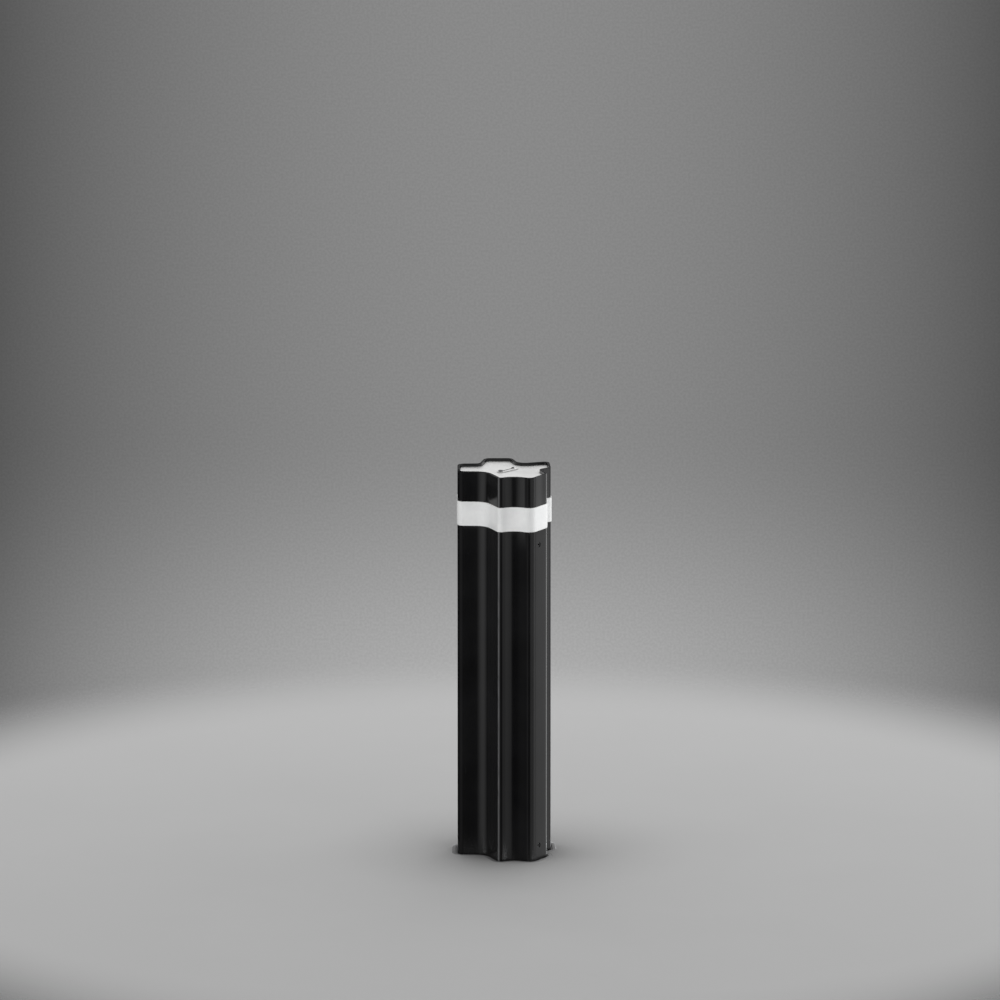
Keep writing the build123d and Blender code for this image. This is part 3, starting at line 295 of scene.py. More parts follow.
# ------------------------------------------------------------------ column shell
shell_rows = [(-0.5, COLUMN_FOOT), (0.0, COLUMN_FOOT + 0.5)]
shell_rows += [(0.0, z) for z in (-90, -60, -30, 0, 10, 14, 22, 26, 36, 60, 120, 180, 240,
                                  300, 360, 400, 407, 415, 420)]
shell_rows += [(0.0, GROOVE_LOW - 0.4), (-0.1, GROOVE_LOW - 0.08),
               (-GROOVE_DEPTH, GROOVE_LOW), (-GROOVE_DEPTH, GROOVE_HIGH),
               (-0.1, GROOVE_HIGH + 0.08), (0.0, GROOVE_HIGH + 0.4), (0.0, 480)]
shell_rows += fillet_rows(-RIM_ROUND, COLUMN_TOP - RIM_ROUND, RIM_ROUND, 0, 90, 5)
shell_rows += fillet_rows(RIM_ROUND - RIM_WALL, COLUMN_TOP - RIM_ROUND, RIM_ROUND, 90, 180, 5)
shell_rows += [(-RIM_WALL, 495.0), (-RIM_WALL, 491.4), (-COLUMN_WALL, 491.4)]
shell_rows += [(-COLUMN_WALL, z) for z in (480, 420, 400, 300, 200, 100, 30, 5, -60)]
shell_rows += [(-COLUMN_WALL, COLUMN_FOOT + 0.5), (-COLUMN_WALL + 0.5, COLUMN_FOOT)]
shell = ring("column_shell_body", shell_rows)

# Screw holes: x, y and outward normal, each at two heights
SCREW_SPOTS = [((44.5, -48.12), (0.848, -0.53, 0)), ((-45.0, 27.91), (-0.0407, 0.9992, 0))]
SCREW_HEIGHTS = (18.0, 411.0)
SCREW_HOLE = [(3.0, -12), (3.0, -0.45), (3.5, 0.05), (3.5, 2)]      # radius, depth from face
boolean(shell, [turned_pin("cutter", (*xy, z), normal, SCREW_HOLE, 32)
                for xy, normal in SCREW_SPOTS for z in SCREW_HEIGHTS])
put(shell, "column", "black_coating", "column_shell")

# ------------------------------------------------------------------ reflective band
band_rows = [(-0.36, 429.62), (0.55, 429.57), (0.74, 429.72), (0.8, 429.95)]
band_rows += [(0.8, z) for z in (433, 437, 441, 445, 449, 453, 457)]
band_rows += [(0.8, 460.65), (0.74, 460.88), (0.55, 461.03), (-0.36, 460.98)]
put(ring("reflective_band_sheet", band_rows), "column", "reflective_white", "reflective_band")

# ------------------------------------------------------------------ cap plate
cap_rows = [(-CAP_GAP, CAP_TOP - 4.95), (-CAP_GAP, CAP_TOP - 0.6)]
cap_rows += fillet_rows(-CAP_GAP - CAP_ROUND, CAP_TOP - CAP_ROUND, CAP_ROUND, 0, 90)
cap_rows += [(-8.0, CAP_TOP)]
cap = ring("cap_plate_brushed", cap_rows, closed=False)
LOCK_HOLE = [(6.05, 488), (6.05, CAP_TOP - 0.25), (6.4, CAP_TOP + 0.1), (6.4, 499)]
boolean(cap, [upright_cutter(LOCK_XY, LOCK_HOLE, 48),
              upright_cutter(PIVOT_XY, [(1.55, 488), (1.55, 499)], 24)])
put(cap, "column", "cap_metal", "cap_plate")

# ------------------------------------------------------------------ key cover
# Swivelling cover: a waisted plate with a slightly sunk top and a thumb pip over the lock
KEY_ANGLE = math.atan2(LOCK_XY[1] - PIVOT_XY[1], LOCK_XY[0] - PIVOT_XY[0])
KEY_LENGTH = math.hypot(LOCK_XY[1] - PIVOT_XY[1], LOCK_XY[0] - PIVOT_XY[0])
KEY_SHARP = 40
PIVOT_END, LOCK_END = 4.8, 6.6             # end radii


def cover_outline(inset):
    points, small, big = [], PIVOT_END - inset, LOCK_END - inset
    tangent = math.acos((big - small) / KEY_LENGTH)
    for k in range(29):
        a = tangent + (2 * math.pi - 2 * tangent) * k / 28
        points.append((small * math.cos(a), small * math.sin(a)))
    for k in range(33):
        a = -tangent + 2 * tangent * k / 32
        points.append((KEY_LENGTH + big * math.cos(a), big * math.sin(a)))
    turned = []
    for x, y in points:
        y *= 1 - 0.10 * math.exp(-((x - KEY_LENGTH * 0.45) / 4.5) ** 2)
        turned.append((PIVOT_XY[0] + x * math.cos(KEY_ANGLE) - y * math.sin(KEY_ANGLE),
                       PIVOT_XY[1] + x * math.sin(KEY_ANGLE) + y * math.cos(KEY_ANGLE)))
    return turned


# Inset from the outline, height above the cap plate
KEY_ROWS = [(0.35, 0.05), (0.0, 0.25), (0.0, 1.1), (0.12, 1.32),
            (0.4, 1.45), (1.0, 1.45), (1.25, 1.3), (1.6, 1.22)]
# Radius, height above the cap plate
PIP_ROWS = [(2.15, 0.7), (2.15, 1.25), (1.8, 1.55), (1.7, 2.0), (1.45, 2.3), (0.9, 2.44)]
key = loft("key_cover_lid", [[(x, y, CAP_TOP + rise) for x, y in cover_outline(inset)]
                             for inset, rise in KEY_ROWS], sharp=KEY_SHARP)
boolean(key, [upright_cutter(PIVOT_XY, [(1.56, 490), (1.56, 505)], 28)], sharp=KEY_SHARP)
pip = upright_cutter(LOCK_XY, [(radius, CAP_TOP + rise) for radius, rise in PIP_ROWS], 32)
boolean(key, [pip], "UNION", KEY_SHARP)
put(key, "key_cover", "cap_metal", "key_cover")

# ------------------------------------------------------------------ ground collar and flange
collar_rows = [(2.35, FLANGE_LOW), (COLLAR_INNER, -23.6), (COLLAR_INNER, -13.0),
               (4.2, -13.0), (4.2, -7.0), (COLLAR_INNER, -7.0), (COLLAR_INNER, -0.9)]
collar_rows += fillet_rows(COLLAR_INNER + COLLAR_ROUND, -COLLAR_ROUND, COLLAR_ROUND, 180, 90)
collar_rows += fillet_rows(COLLAR_OUTER - COLLAR_ROUND, -COLLAR_ROUND, COLLAR_ROUND, 90, 0)
collar_rows += [(COLLAR_OUTER, -1.2), (COLLAR_OUTER, -10.0), (COLLAR_OUTER, -17.2),
                (7.25, -17.75), (7.9, FLANGE_TOP), (COLLAR_FOOT, FLANGE_TOP),
                (COLLAR_FOOT, FLANGE_LOW)]
put(ring("surface_collar_ring", collar_rows), "ground_unit", "collar_steel", "surface_collar")

flange_rows = [(FLANGE_CHAMFER, FLANGE_LOW), (0.0, FLANGE_LOW + FLANGE_CHAMFER),
               (0.0, FLANGE_TOP - FLANGE_CHAMFER), (FLANGE_CHAMFER, FLANGE_TOP)]
flange = loft("collar_flange",
              [[(x, y, z) for x, y in rounded_square(FLANGE_HALF - inset,
                                                     FLANGE_CORNER - inset, 10, 6)]
               for inset, z in flange_rows])
opening = COLLAR_FOOT - 0.01
boolean(flange, [ring("cutter", [(opening, -30), (opening, -10)], closed=False)])
COUNTERSUNK = [(3.3, -30), (3.3, -21.0), (6.3, FLANGE_TOP), (6.3, -15)]
boolean(flange, [upright_cutter((x, y), COUNTERSUNK, 32)
                 for x in (-FLANGE_HOLE_XY, FLANGE_HOLE_XY)
                 for y in (-FLANGE_HOLE_XY, FLANGE_HOLE_XY)])
put(flange, "ground_unit", "collar_steel")

# ------------------------------------------------------------------ wiper seal
# Offset, z: seated in the collar's groove, with a lip towards the column and small ribs
SEAL_ROWS = [
    (4.1, -12.9), (4.1, -7.1), (2.1, -7.1), (1.84, -6.8), (1.8, -1.0), (1.6, -0.72),
    (0.62, -0.66), (0.36, -0.85), (0.34, -1.5), (1.05, -3.4), (1.1, -8.1), (1.3, -8.7),
    (2.1, -9.1), (2.1, -10.0), (2.35, -10.3), (2.1, -10.6), (2.1, -11.3), (2.35, -11.6),
    (2.1, -11.9), (2.1, -12.6), (2.4, -12.9),
]
seal = ring("wiper_seal_lip", SEAL_ROWS, sharp=45)
put(seal, "ground_unit", "seal_rubber", "wiper_seal")

# ------------------------------------------------------------------ weld beads
WELD_STEP = 2.2
WALL_WELD = 125.4                          # middle of the casing to a bead on its wall
CONDUIT_Z, CONDUIT_WELD = -160, 25.4       # conduit through the back wall, radius of its bead


def weld(name, path, radius, outward, seed, closed=True):
    """Rippled bead along a path of points; outward gives the way off the metal at a point."""
    points = [Vector(p) for p in path]
    count, sides = len(points), 8
    loops = []
    for i, p in enumerate(points):
        nxt = points[(i + 1) % count] if closed or i < count - 1 else p
        prv = points[i - 1] if closed or i > 0 else p
        tangent = (nxt - prv).normalized()
        up = Vector(outward(p)).normalized()
        up = (up - tangent * up.dot(tangent)).normalized()
        side = tangent.cross(up)
        uneven = noise.noise(p * 0.09 + Vector((seed, 0, 0)))
        r = radius * (1 + 0.11 * math.sin(i * 2 * math.pi / 3) + 0.16 * uneven)
        if not closed and (i < 2 or i > count - 3):      # tapered ends
            r *= 0.55 if i in (0, count - 1) else 0.85
        angles = [2 * math.pi * k / sides for k in range(sides)]
        loops.append([tuple(p + up * (r * math.cos(a)) + side * (r * math.sin(a)))
                      for a in angles])
    obj = loft(name, loops, closed, 80)
    put(obj, "ground_unit", "galvanised_steel", finish="weld")
    return obj


def dense(points, closed=True):
    """The path with its sides split to about the weld step."""
    path = []
    count = len(points)
    for i in range(count if closed else count - 1):
        a, b = Vector(points[i]), Vector(points[(i + 1) % count])
        parts = max(1, round((b - a).length / WELD_STEP))
        path += [a + (b - a) * k / parts for k in range(parts)]
    if not closed:
        path.append(Vector(points[-1]))
    return path


def square_path(half, z):
    return dense([(x, y, z) for x, y in rounded_square(half, 10, 8, 1)])


def off_walls(p):
    """Way off the nearest wall of the square casing, diagonal near its corners."""
    reach = max(abs(p.x), abs(p.y)) - 10
    return (p.x if abs(p.x) > reach else 0, p.y if abs(p.y) > reach else 0, 0)


weld("weld_base", square_path(125.3, -873.6), 2.7, off_walls, seed=3)
weld("weld_frame", square_path(125.2, -54.6), 2.2, off_walls, seed=5)
circle = [(CONDUIT_WELD * math.cos(a), WALL_WELD, CONDUIT_Z + CONDUIT_WELD * math.sin(a))
          for a in [2 * math.pi * k / 70 for k in range(70)]]
weld("weld_conduit", circle, 2.2, lambda p: (p.x, 0, p.z - CONDUIT_Z), seed=7)

# Small round welds of the anchor bars: two on each wall at two levels
SPOT_LEVELS, SPOT_X, SPOT_RADIUS = (-330.0, -720.0), (-70, 70), 5.3
spots = []
for level in SPOT_LEVELS:
    for q in range(4):
        turn = math.radians(90 * q)

        def on_wall(x, z):
            """A point of the back wall, carried round to wall q."""
            return (x * math.cos(turn) - WALL_WELD * math.sin(turn),
                    x * math.sin(turn) + WALL_WELD * math.cos(turn), z)

        for x in SPOT_X:
            loop = [on_wall(x + SPOT_RADIUS * math.cos(a), level + SPOT_RADIUS * math.sin(a))
                    for a in [2 * math.pi * k / 18 for k in range(18)]]
            centre = Vector(on_wall(x, level))
            spots.append(weld("weld_spot_%02d" % len(spots), loop, 1.7,
                              lambda p, c=centre: p - c, seed=11 + len(spots)))
with bpy.context.temp_override(active_object=spots[0], object=spots[0], selected_objects=spots,
                               selected_editable_objects=spots):
    bpy.ops.object.join()
spots[0].name = "weld_anchor_bars"

# Closing seam of the folded casing, down the middle of the back wall, broken at the conduit
SEAM_GAP = 29
for name, top, bottom, seed in (("weld_seam_upper", -58, CONDUIT_Z + SEAM_GAP, 31),
                                ("weld_seam_lower", CONDUIT_Z - SEAM_GAP, -869, 33)):
    weld(name, dense([(0, 125.15, top), (0, 125.15, bottom)], closed=False), 1.5,
         lambda p: (0, 1, 0), seed, closed=False)

# ------------------------------------------------------------------ lead screw
THREAD_SIDES, THREAD_STEP = 40, 0.625
THREAD_LOW, THREAD_HIGH = -663.95, -112.05
LEAD, CREST_PITCH = 25, 5                  # rise in one turn, height from crest to crest
ROOT_RADIUS, THREAD_DEPTH = 8.75, 1.2
END_RADIUS, END_LENGTH = 8.3, 3            # both ends run out to a plain rod
steps_up = int((THREAD_HIGH - THREAD_LOW) / THREAD_STEP)
verts, faces = [], []
for j in range(steps_up + 1):
    z = THREAD_LOW + j * THREAD_STEP if j < steps_up else THREAD_HIGH
    for k in range(THREAD_SIDES):
        a = 2 * math.pi * k / THREAD_SIDES
        phase = ((z - LEAD * k / THREAD_SIDES) / CREST_PITCH) % 1.0
        crest = min(1, max(0, (0.36 - abs(phase - 0.5)) / 0.14))
        radius = ROOT_RADIUS + THREAD_DEPTH * crest
        end = min(z - THREAD_LOW, THREAD_HIGH - z)
        if end < END_LENGTH:
            radius = min(radius, END_RADIUS + 1.7 * end / END_LENGTH)
        verts.append((radius * math.cos(a), radius * math.sin(a), z))
for j in range(steps_up):
    for k in range(THREAD_SIDES):
        i = (k + 1) % THREAD_SIDES
        low_row, high_row = j * THREAD_SIDES, (j + 1) * THREAD_SIDES
        faces.append((low_row + k, low_row + i, high_row + i))
        faces.append((low_row + k, high_row + i, high_row + k))
faces += end_caps(THREAD_SIDES, steps_up + 1)
put(obj_from("lead_screw_thread", verts, faces, 50), "screw", "bright_steel", "lead_screw")

# Radius, z
JOURNAL_ROWS = [
    (5.5, -725), (6, -724.5), (6, -716.02), (7.5, -716), (7.5, -702.02), (8.2, -702),
    (8.48, -701.7), (8.48, -669.97), (10.6, -669.95), (11, -669.6), (11, -664.4),
    (10.6, -664), (8.6, -664), (8.6, -663.9),
]
journal = turned_pin("lead_screw_journal", (0, 0, 0), (0, 0, 1), JOURNAL_ROWS, 64)
put(journal, "screw", "bright_steel")


# ------------------------------------------------------------------ shader graphs
class Signal:
    """Output socket of a shader graph; arithmetic on it adds Math nodes."""

    def __init__(self, graph, socket):
        self.graph, self.socket = graph, socket

    def __add__(self, other):
        return self.graph.math("ADD", self, other)

    def __radd__(self, other):
        return self.graph.math("ADD", other, self)

    def __sub__(self, other):
        return self.graph.math("SUBTRACT", self, other)

    def __rsub__(self, other):
        return self.graph.math("SUBTRACT", other, self)

    def __mul__(self, other):
        return self.graph.math("MULTIPLY", self, other)

    def __rmul__(self, other):
        return self.graph.math("MULTIPLY", other, self)

    def __truediv__(self, other):
        return self.graph.math("DIVIDE", self, other)

    def fade(self, start, end, low=0.0, high=1.0):
        """Smooth step from low at start to high at end; start may be the larger."""
        return self.graph.node("MapRange", p_interpolation_type="SMOOTHSTEP",
                               i_0=self, i_1=start, i_2=end, i_3=low, i_4=high)

    def window(self, rise, fall):
        """1 between two (start, end) fades."""
        return self.fade(*rise) * self.fade(*fall)


class Graph:
    """Builds the node tree of a material or a world."""

    def __init__(self, owner, output="OutputMaterial"):
        self.owner = owner
        owner.use_nodes = True
        self.tree = owner.node_tree
        self.tree.nodes.clear()
        self.out = self.tree.nodes.new("ShaderNode" + output)
        self.coords = self.tree.nodes.new("ShaderNodeTexCoord").outputs

    def put(self, socket, value):
        if value is None:
            return
        if isinstance(value, Signal):
            value = value.socket
        if isinstance(value, bpy.types.NodeSocket):
            self.tree.links.new(value, socket)
        elif isinstance(value, tuple) and len(value) == 3 and socket.type == "RGBA":
            socket.default_value = (*value, 1)
        else:
            socket.default_value = value

    def node(self, kind, out=0, **settings):
        """Adds a node: p_ sets a property, i_ an input by number, others an input by name."""
        node = self.tree.nodes.new("ShaderNode" + kind)
        for key, value in settings.items():
            if key.startswith("p_"):
                setattr(node, key[2:], value)
        for key, value in settings.items():
            if key.startswith("i_"):
                self.put(node.inputs[int(key[2:])], value)
            elif not key.startswith("p_"):
                self.put(node.inputs[key.replace("_", " ")], value)
        return Signal(self, node.outputs[out])

    def split(self, vector):
        node = self.tree.nodes.new("ShaderNodeSeparateXYZ")
        self.put(node.inputs[0], vector)
        return [Signal(self, socket) for socket in node.outputs]

    def math(self, operation, a, b=0.0, clamp=False):
        return self.node("Math", p_operation=operation, p_use_clamp=clamp, i_0=a, i_1=b)

    def mix(self, factor, a, b):
        return self.node("Mix", out=2, p_data_type="RGBA", i_0=factor, i_6=a, i_7=b)

    def tint(self, color, mask, amount, to):
        """Moves the colour towards another where the mask is 1."""
        return self.mix(mask * amount, color, to)

    def place(self, stretch=(1, 1, 1)):
        return self.node("Mapping", Vector=self.coords["Object"], Scale=stretch)

    def noise(self, scale, detail, stretch=(1, 1, 1), rough=0.55):
        return self.node("TexNoise", Vector=self.place(stretch), Scale=scale,
                         Detail=detail, Roughness=rough)

    def cells(self, scale):
        """A random value for each cell."""
        cell = self.node("TexVoronoi", out=1, Vector=self.place(), Scale=scale)
        return self.node("SeparateColor", Color=cell)

    def height(self):
        return self.split(self.coords["Object"])[2]

    def edge(self, radius=0.0015, low=0.80, high=0.985):
        """1 on convex and concave edges, 0 on flats."""
        bevel = self.node("Bevel", p_samples=4, Radius=radius)
        normal = self.node("NewGeometry", out="Normal")
        dot = self.node("VectorMath", out=1, p_operation="DOT_PRODUCT", i_0=bevel, i_1=normal)
        return dot.fade(start=high, end=low)

    def bump(self, height, strength, distance, round_edges=0.0):
        normal = None
        if round_edges:
            normal = self.node("Bevel", p_samples=4, Radius=round_edges)
        return self.node("Bump", Strength=strength, Distance=distance, Height=height,
                         Normal=normal)

    def finish(self, **inputs):
        self.put(self.out.inputs["Surface"], self.node("BsdfPrincipled", **inputs))
        return self.owner


def grey(level):
    return (level, level, level)


# ------------------------------------------------------------------ materials
def metal(name, dark, light, rough, spread=0.1, streak=(1, 1, 1), streak_scale=900, depth=0.15,
          stain=(0.1, 0.08, 0.06), stain_amount=0.25, edge_light=0.25):
    g = Graph(bpy.data.materials.new(name))
    broad = g.noise(scale=14, detail=5)
    fine = g.noise(streak_scale, detail=3, stretch=streak)
    color = g.mix(broad.fade(start=0.35, end=0.68), dark, light)
    stains = g.noise(scale=55, detail=6, rough=0.7).fade(start=0.56, end=0.8)
    color = g.tint(color, stains, stain_amount, stain)
    color = g.tint(color, g.edge(), edge_light, grey(0.85))
    mottle = fine.fade(start=0.3, end=0.7) + broad.fade(start=0.3, end=0.7)
    return g.finish(Base_Color=color, Metallic=1.0,
                    Roughness=(rough - spread / 2) + mottle * (spread / 2),
                    Normal=g.bump(fine, depth, distance=0.00008, round_edges=0.0005))


def plastic(name, dark, light, rough, grain=1600, depth=0.25, edge_light=0.08, spec=0.45):
    """Dielectric with a fine grain and a little dust."""
    g = Graph(bpy.data.materials.new(name))
    broad = g.noise(scale=22, detail=5)
    fine = g.noise(grain, detail=2)
    color = g.mix(broad.fade(start=0.35, end=0.7), dark, light)
    color = g.tint(color, g.edge(), edge_light, tuple(min(1, c * 2 + 0.1) for c in light))
    dust = g.noise(scale=70, detail=6, rough=0.72).fade(start=0.55, end=0.8)
    color = g.tint(color, dust, amount=0.18, to=(0.32, 0.30, 0.27))
    return g.finish(Base_Color=color, Specular_IOR_Level=spec,
                    Roughness=(rough - 0.05) + broad.fade(start=0.3, end=0.7) * 0.14,
                    Normal=g.bump(fine, depth, distance=0.0001, round_edges=0.0005))


def galvanised(name, spangle_scale=95, depth=0.22):
    g = Graph(bpy.data.materials.new(name))
    spangle = g.cells(spangle_scale)                         # zinc crystals
    grain = g.cells(scale=260)
    broad = g.noise(scale=5, detail=5)
    tone = spangle * 0.62 + grain * 0.38
    color = g.mix(tone.fade(start=0.15, end=0.85), (0.42, 0.435, 0.45), (0.56, 0.575, 0.59))
    color = g.tint(color, broad.fade(start=0.45, end=0.7), amount=0.45, to=(0.46, 0.47, 0.475))
    # white bloom runs down the walls
    runs = g.noise(scale=16, detail=5, stretch=(1, 1, 0.10), rough=0.6)
    runs = runs.fade(start=0.58, end=0.76)
    color = g.tint(color, runs, amount=0.42, to=(0.72, 0.73, 0.73))
    soil = (g.height() + g.noise(scale=9, detail=5) * 0.30).fade(start=-0.62, end=-0.84)
    color = g.tint(color, soil, amount=0.42, to=(0.20, 0.165, 0.125))
    rust = g.noise(scale=34, detail=7, rough=0.75).fade(start=0.69, end=0.80)
    color = g.tint(color, rust, amount=0.5, to=(0.26, 0.12, 0.05))
    color = g.tint(color, g.edge(radius=0.002), amount=0.2, to=(0.68, 0.69, 0.70))
    rough = 0.36 + (grain * 0.14 + g.math("ADD", soil, runs, clamp=True) * 0.25)
    height = tone * 0.5 + g.noise(scale=420, detail=4) * 0.6
    metallic = (soil * 0.8 + rust * 0.8).fade(start=0.0, end=1.0, low=0.85, high=0.25)
    return g.finish(Base_Color=color, Metallic=metallic, Roughness=rough,
                    Normal=g.bump(height, depth, distance=0.0003, round_edges=0.0008))


def black_coating():
    g = Graph(bpy.data.materials.new("black_coating"))
    peel = g.noise(scale=330, detail=2, stretch=(1, 1, 0.8))     # orange peel of the coat
    micro = g.noise(scale=2300, detail=2)
    draw = g.noise(scale=260, detail=3, stretch=(1, 1, 0.012))   # lines along the extrusion
    broad = g.noise(scale=11, detail=5)
    color = g.mix(broad.fade(start=0.35, end=0.7), (0.0046, 0.0046, 0.0050),
                  (0.0085, 0.0085, 0.0090))
    # splash dust near the ground
    z = g.height()
    wander = (g.noise(scale=24, detail=5) - 0.5) * 0.10
    low = (z + wander).fade(start=0.045, end=-0.03)
    speck = g.noise(scale=640, detail=3, rough=0.7).fade(start=0.50, end=0.72)
    dust = low * (0.25 + speck * 0.75)
    color = g.tint(color, dust, amount=0.09, to=(0.17, 0.16, 0.145))
    scuff = g.noise(scale=900, detail=3, stretch=(1, 1, 0.16), rough=0.7)
    scuff = scuff.fade(start=0.66, end=0.74)
    scuff = scuff * g.noise(scale=15, detail=4).fade(start=0.55, end=0.72)
    color = g.tint(color, scuff, amount=0.35, to=grey(0.085))
    worn = g.edge(radius=0.0009, low=0.80, high=0.97)
    worn = worn * g.noise(scale=120, detail=5, rough=0.7).fade(start=0.42, end=0.66)
    color = g.tint(color, worn, amount=0.55, to=(0.20, 0.20, 0.205))
    rough = 0.155 + broad.fade(start=0.3, end=0.7) * 0.035
    rough = rough + g.math("ADD", dust, scuff, clamp=True) * 0.30
    gloss = z.fade(start=0.05, end=0.47, low=0.40, high=0.52)

    # painted shade below the band: the reflection is dimmed on the right side of the valley
    # between the two front lobes, on narrow strips beside both lobes, and at the front left
    # corner
    x, y, _ = g.split(g.coords["Object"])
    valley = x.window(rise=(0.0115, 0.0160), fall=(0.0305, 0.0280))
    valley = valley * y.fade(start=-0.046, end=-0.050) * z.fade(start=0.455, end=0.40)
    lobes = g.math("MAXIMUM", x.window(rise=(0.0252, 0.0268), fall=(0.0305, 0.0285)),
                   x.window(rise=(-0.0058, -0.0046), fall=(-0.0016, -0.0026)))
    lobes = lobes * y.fade(start=-0.046, end=-0.050)
    corner = x.fade(start=-0.0512, end=-0.0530) * y.fade(start=-0.002, end=-0.010)
    valley = g.math("MAXIMUM", valley, g.math("MAXIMUM", lobes, corner) * 0.85)
    gloss = gloss * (1.0 - valley * 0.88)
    # painted shade above the band: the reflection is dimmed on the left facet of the left
    # front lobe
    painted_facet_shade = x.window(rise=(-0.0240, -0.0220), fall=(-0.0066, -0.0082))
    painted_facet_shade = painted_facet_shade * y.fade(start=-0.021, end=-0.025)
    painted_facet_shade = painted_facet_shade * z.window(rise=(0.459, 0.462), fall=(0.494, 0.482))
    gloss = gloss * (1.0 - painted_facet_shade * 0.72)
    # painted highlight down the right flank of the head: the reflection is made stronger in a
    # strip
    streak = x.window(rise=(0.0372, 0.0425), fall=(0.0505, 0.0450))
    streak = streak * (y.fade(start=-0.01, end=-0.03) * z.fade(start=0.459, end=0.462))
    gloss = gloss * (1.0 + streak * 0.95)
    # painted highlight along the sharp arris of the front lobe, lighter grey in patches
    arris_highlight = g.node("VectorMath", out=1, p_operation="DISTANCE",
                   i_0=g.node("CombineXYZ", X=x, Y=y), i_1=(-0.0074, -0.0575, 0.0))
    patchy = g.noise(scale=160, detail=4, stretch=(1, 1, 0.3))
    arris_highlight = (arris_highlight.fade(start=0.0019, end=0.0006)
             * patchy.fade(start=0.25, end=0.6, low=0.6, high=1.0))
    color = g.mix(arris_highlight, color, (0.115, 0.115, 0.118))
    # the flat top of the rim is dull, so it doesn't mirror the sky
    top = g.split(g.node("NewGeometry", out="Normal"))[2].fade(start=0.35, end=0.9)
    gloss = gloss * (1.0 - top * 0.93)
    rough = rough + top * 0.35
    height = peel * 0.55 + (draw * 0.45 + micro * 0.12) - scuff * 0.6
    return g.finish(Base_Color=color, Roughness=rough, Specular_IOR_Level=gloss,
                    Normal=g.bump(height, strength=0.055, distance=0.00012))


def reflective_white():
    """Prismatic sheeting with dirty upper and lower edges."""
    g = Graph(bpy.data.materials.new("reflective_white"))
    tilted = g.node("Mapping", Vector=g.coords["Object"], Scale=(1, 1, 1),
                    Rotation=(0.5, 0.62, 0.3))
    prism = g.node("TexVoronoi", p_feature="DISTANCE_TO_EDGE", Vector=tilted,
                   Scale=540, Randomness=0.15)
    seam = prism.fade(start=0.03, end=0.0)
    broad = g.noise(scale=30, detail=4)
    color = g.mix(broad.fade(start=0.35, end=0.7), (0.80, 0.81, 0.81), (0.90, 0.905, 0.90))
    color = g.tint(color, seam, amount=0.22, to=(0.60, 0.61, 0.62))
    z = g.height()
    rim = g.math("ADD", z.fade(start=0.4308, end=0.4296), z.fade(start=0.4598, end=0.4610),
                 clamp=True)
    smears = g.noise(scale=90, detail=6, stretch=(1, 1, 0.3), rough=0.7)
    grime = rim * 0.7 + smears.fade(start=0.62, end=0.8) * 0.5
    color = g.tint(color, grime, amount=0.35, to=(0.42, 0.40, 0.37))
    cell = g.node("TexVoronoi", out=1, Vector=tilted, Scale=540, Randomness=0.15)
    rough = 0.30 + g.node("SeparateColor", Color=cell) * 0.16
    height = prism * 2.0 + g.noise(scale=1500, detail=2) * 0.15
    # painted glow: a weak emission stands in for the light the sheeting sends straight back, a
    # little less on the prism seams
    painted_glow = 0.10 * (1.0 - seam * 0.10)
    return g.finish(Base_Color=color, Roughness=rough, Specular_IOR_Level=0.5,
                    Emission_Color=grey(1.0), Emission_Strength=painted_glow,
                    Coat_Weight=0.3, Coat_Roughness=0.12, Sheen_Weight=0.08,
                    Normal=g.bump(height, strength=0.10, distance=0.00012))


def cap_metal():
    g = Graph(bpy.data.materials.new("cap_metal"))

    def brushed(degrees, squeeze, scale, detail):
        turned = g.node("Mapping", Vector=g.coords["Object"],
                        Rotation=(0, 0, math.radians(degrees)), Scale=(squeeze, 1, 1))
        return g.node("TexNoise", Vector=turned, Scale=scale, Detail=detail)

    brush = brushed(degrees=34, squeeze=0.035, scale=2600, detail=3)
    coarse = brushed(degrees=31, squeeze=0.05, scale=620, detail=4)
    broad = g.noise(scale=18, detail=5)
    color = g.mix(brush.fade(start=0.3, end=0.7), (0.66, 0.66, 0.655), (0.80, 0.80, 0.795))
    color = g.tint(color, broad.fade(start=0.5, end=0.72), amount=0.25, to=(0.56, 0.56, 0.555))
    color = g.tint(color, coarse.fade(start=0.70, end=0.76), amount=0.35, to=grey(0.86))
    # painted shade: darker along all edges and crevices, which draws a dark outline round the
    # key cover
    edge_shade = g.edge(radius=0.0012, low=0.75, high=0.98)
    color = g.tint(color, edge_shade, amount=0.45, to=grey(0.16))
    rough = 0.36 + broad.fade(start=0.3, end=0.7) * 0.12
    # near-black line painted along the key cover, from its pivot to the thumb pip, and a
    # near-black disc on the pip
    x, y, z = (g.split(g.coords["Object"])[axis] for axis in range(3))
    dx = x - PIVOT_XY[0] * MM
    dy = y - PIVOT_XY[1] * MM
    along = dx * math.cos(KEY_ANGLE) + dy * math.sin(KEY_ANGLE)
    aside = dy * math.cos(KEY_ANGLE) - dx * math.sin(KEY_ANGLE)
    line = (g.math("ABSOLUTE", aside).fade(start=0.00125, end=0.00085)
            * along.window(rise=(0.0005, 0.0012), fall=(0.0243, 0.0236)))
    rest = along - KEY_LENGTH * MM
    from_lock = g.math("SQRT", aside * aside + rest * rest)
    mark = g.math("MAXIMUM", line, from_lock.fade(start=0.0022, end=0.0017))
    mark = mark * z.fade(start=0.4968, end=0.4970)
    color = g.mix(mark, color, grey(0.010))
    plain = 1.0 - mark
    return g.finish(Base_Color=color, Metallic=plain * 0.75, Roughness=rough + mark * 0.3,
                    Specular_IOR_Level=plain * 0.5,
                    Normal=g.bump(brush + coarse * 0.7, strength=0.16, distance=0.00008,
                                  round_edges=0.0003))


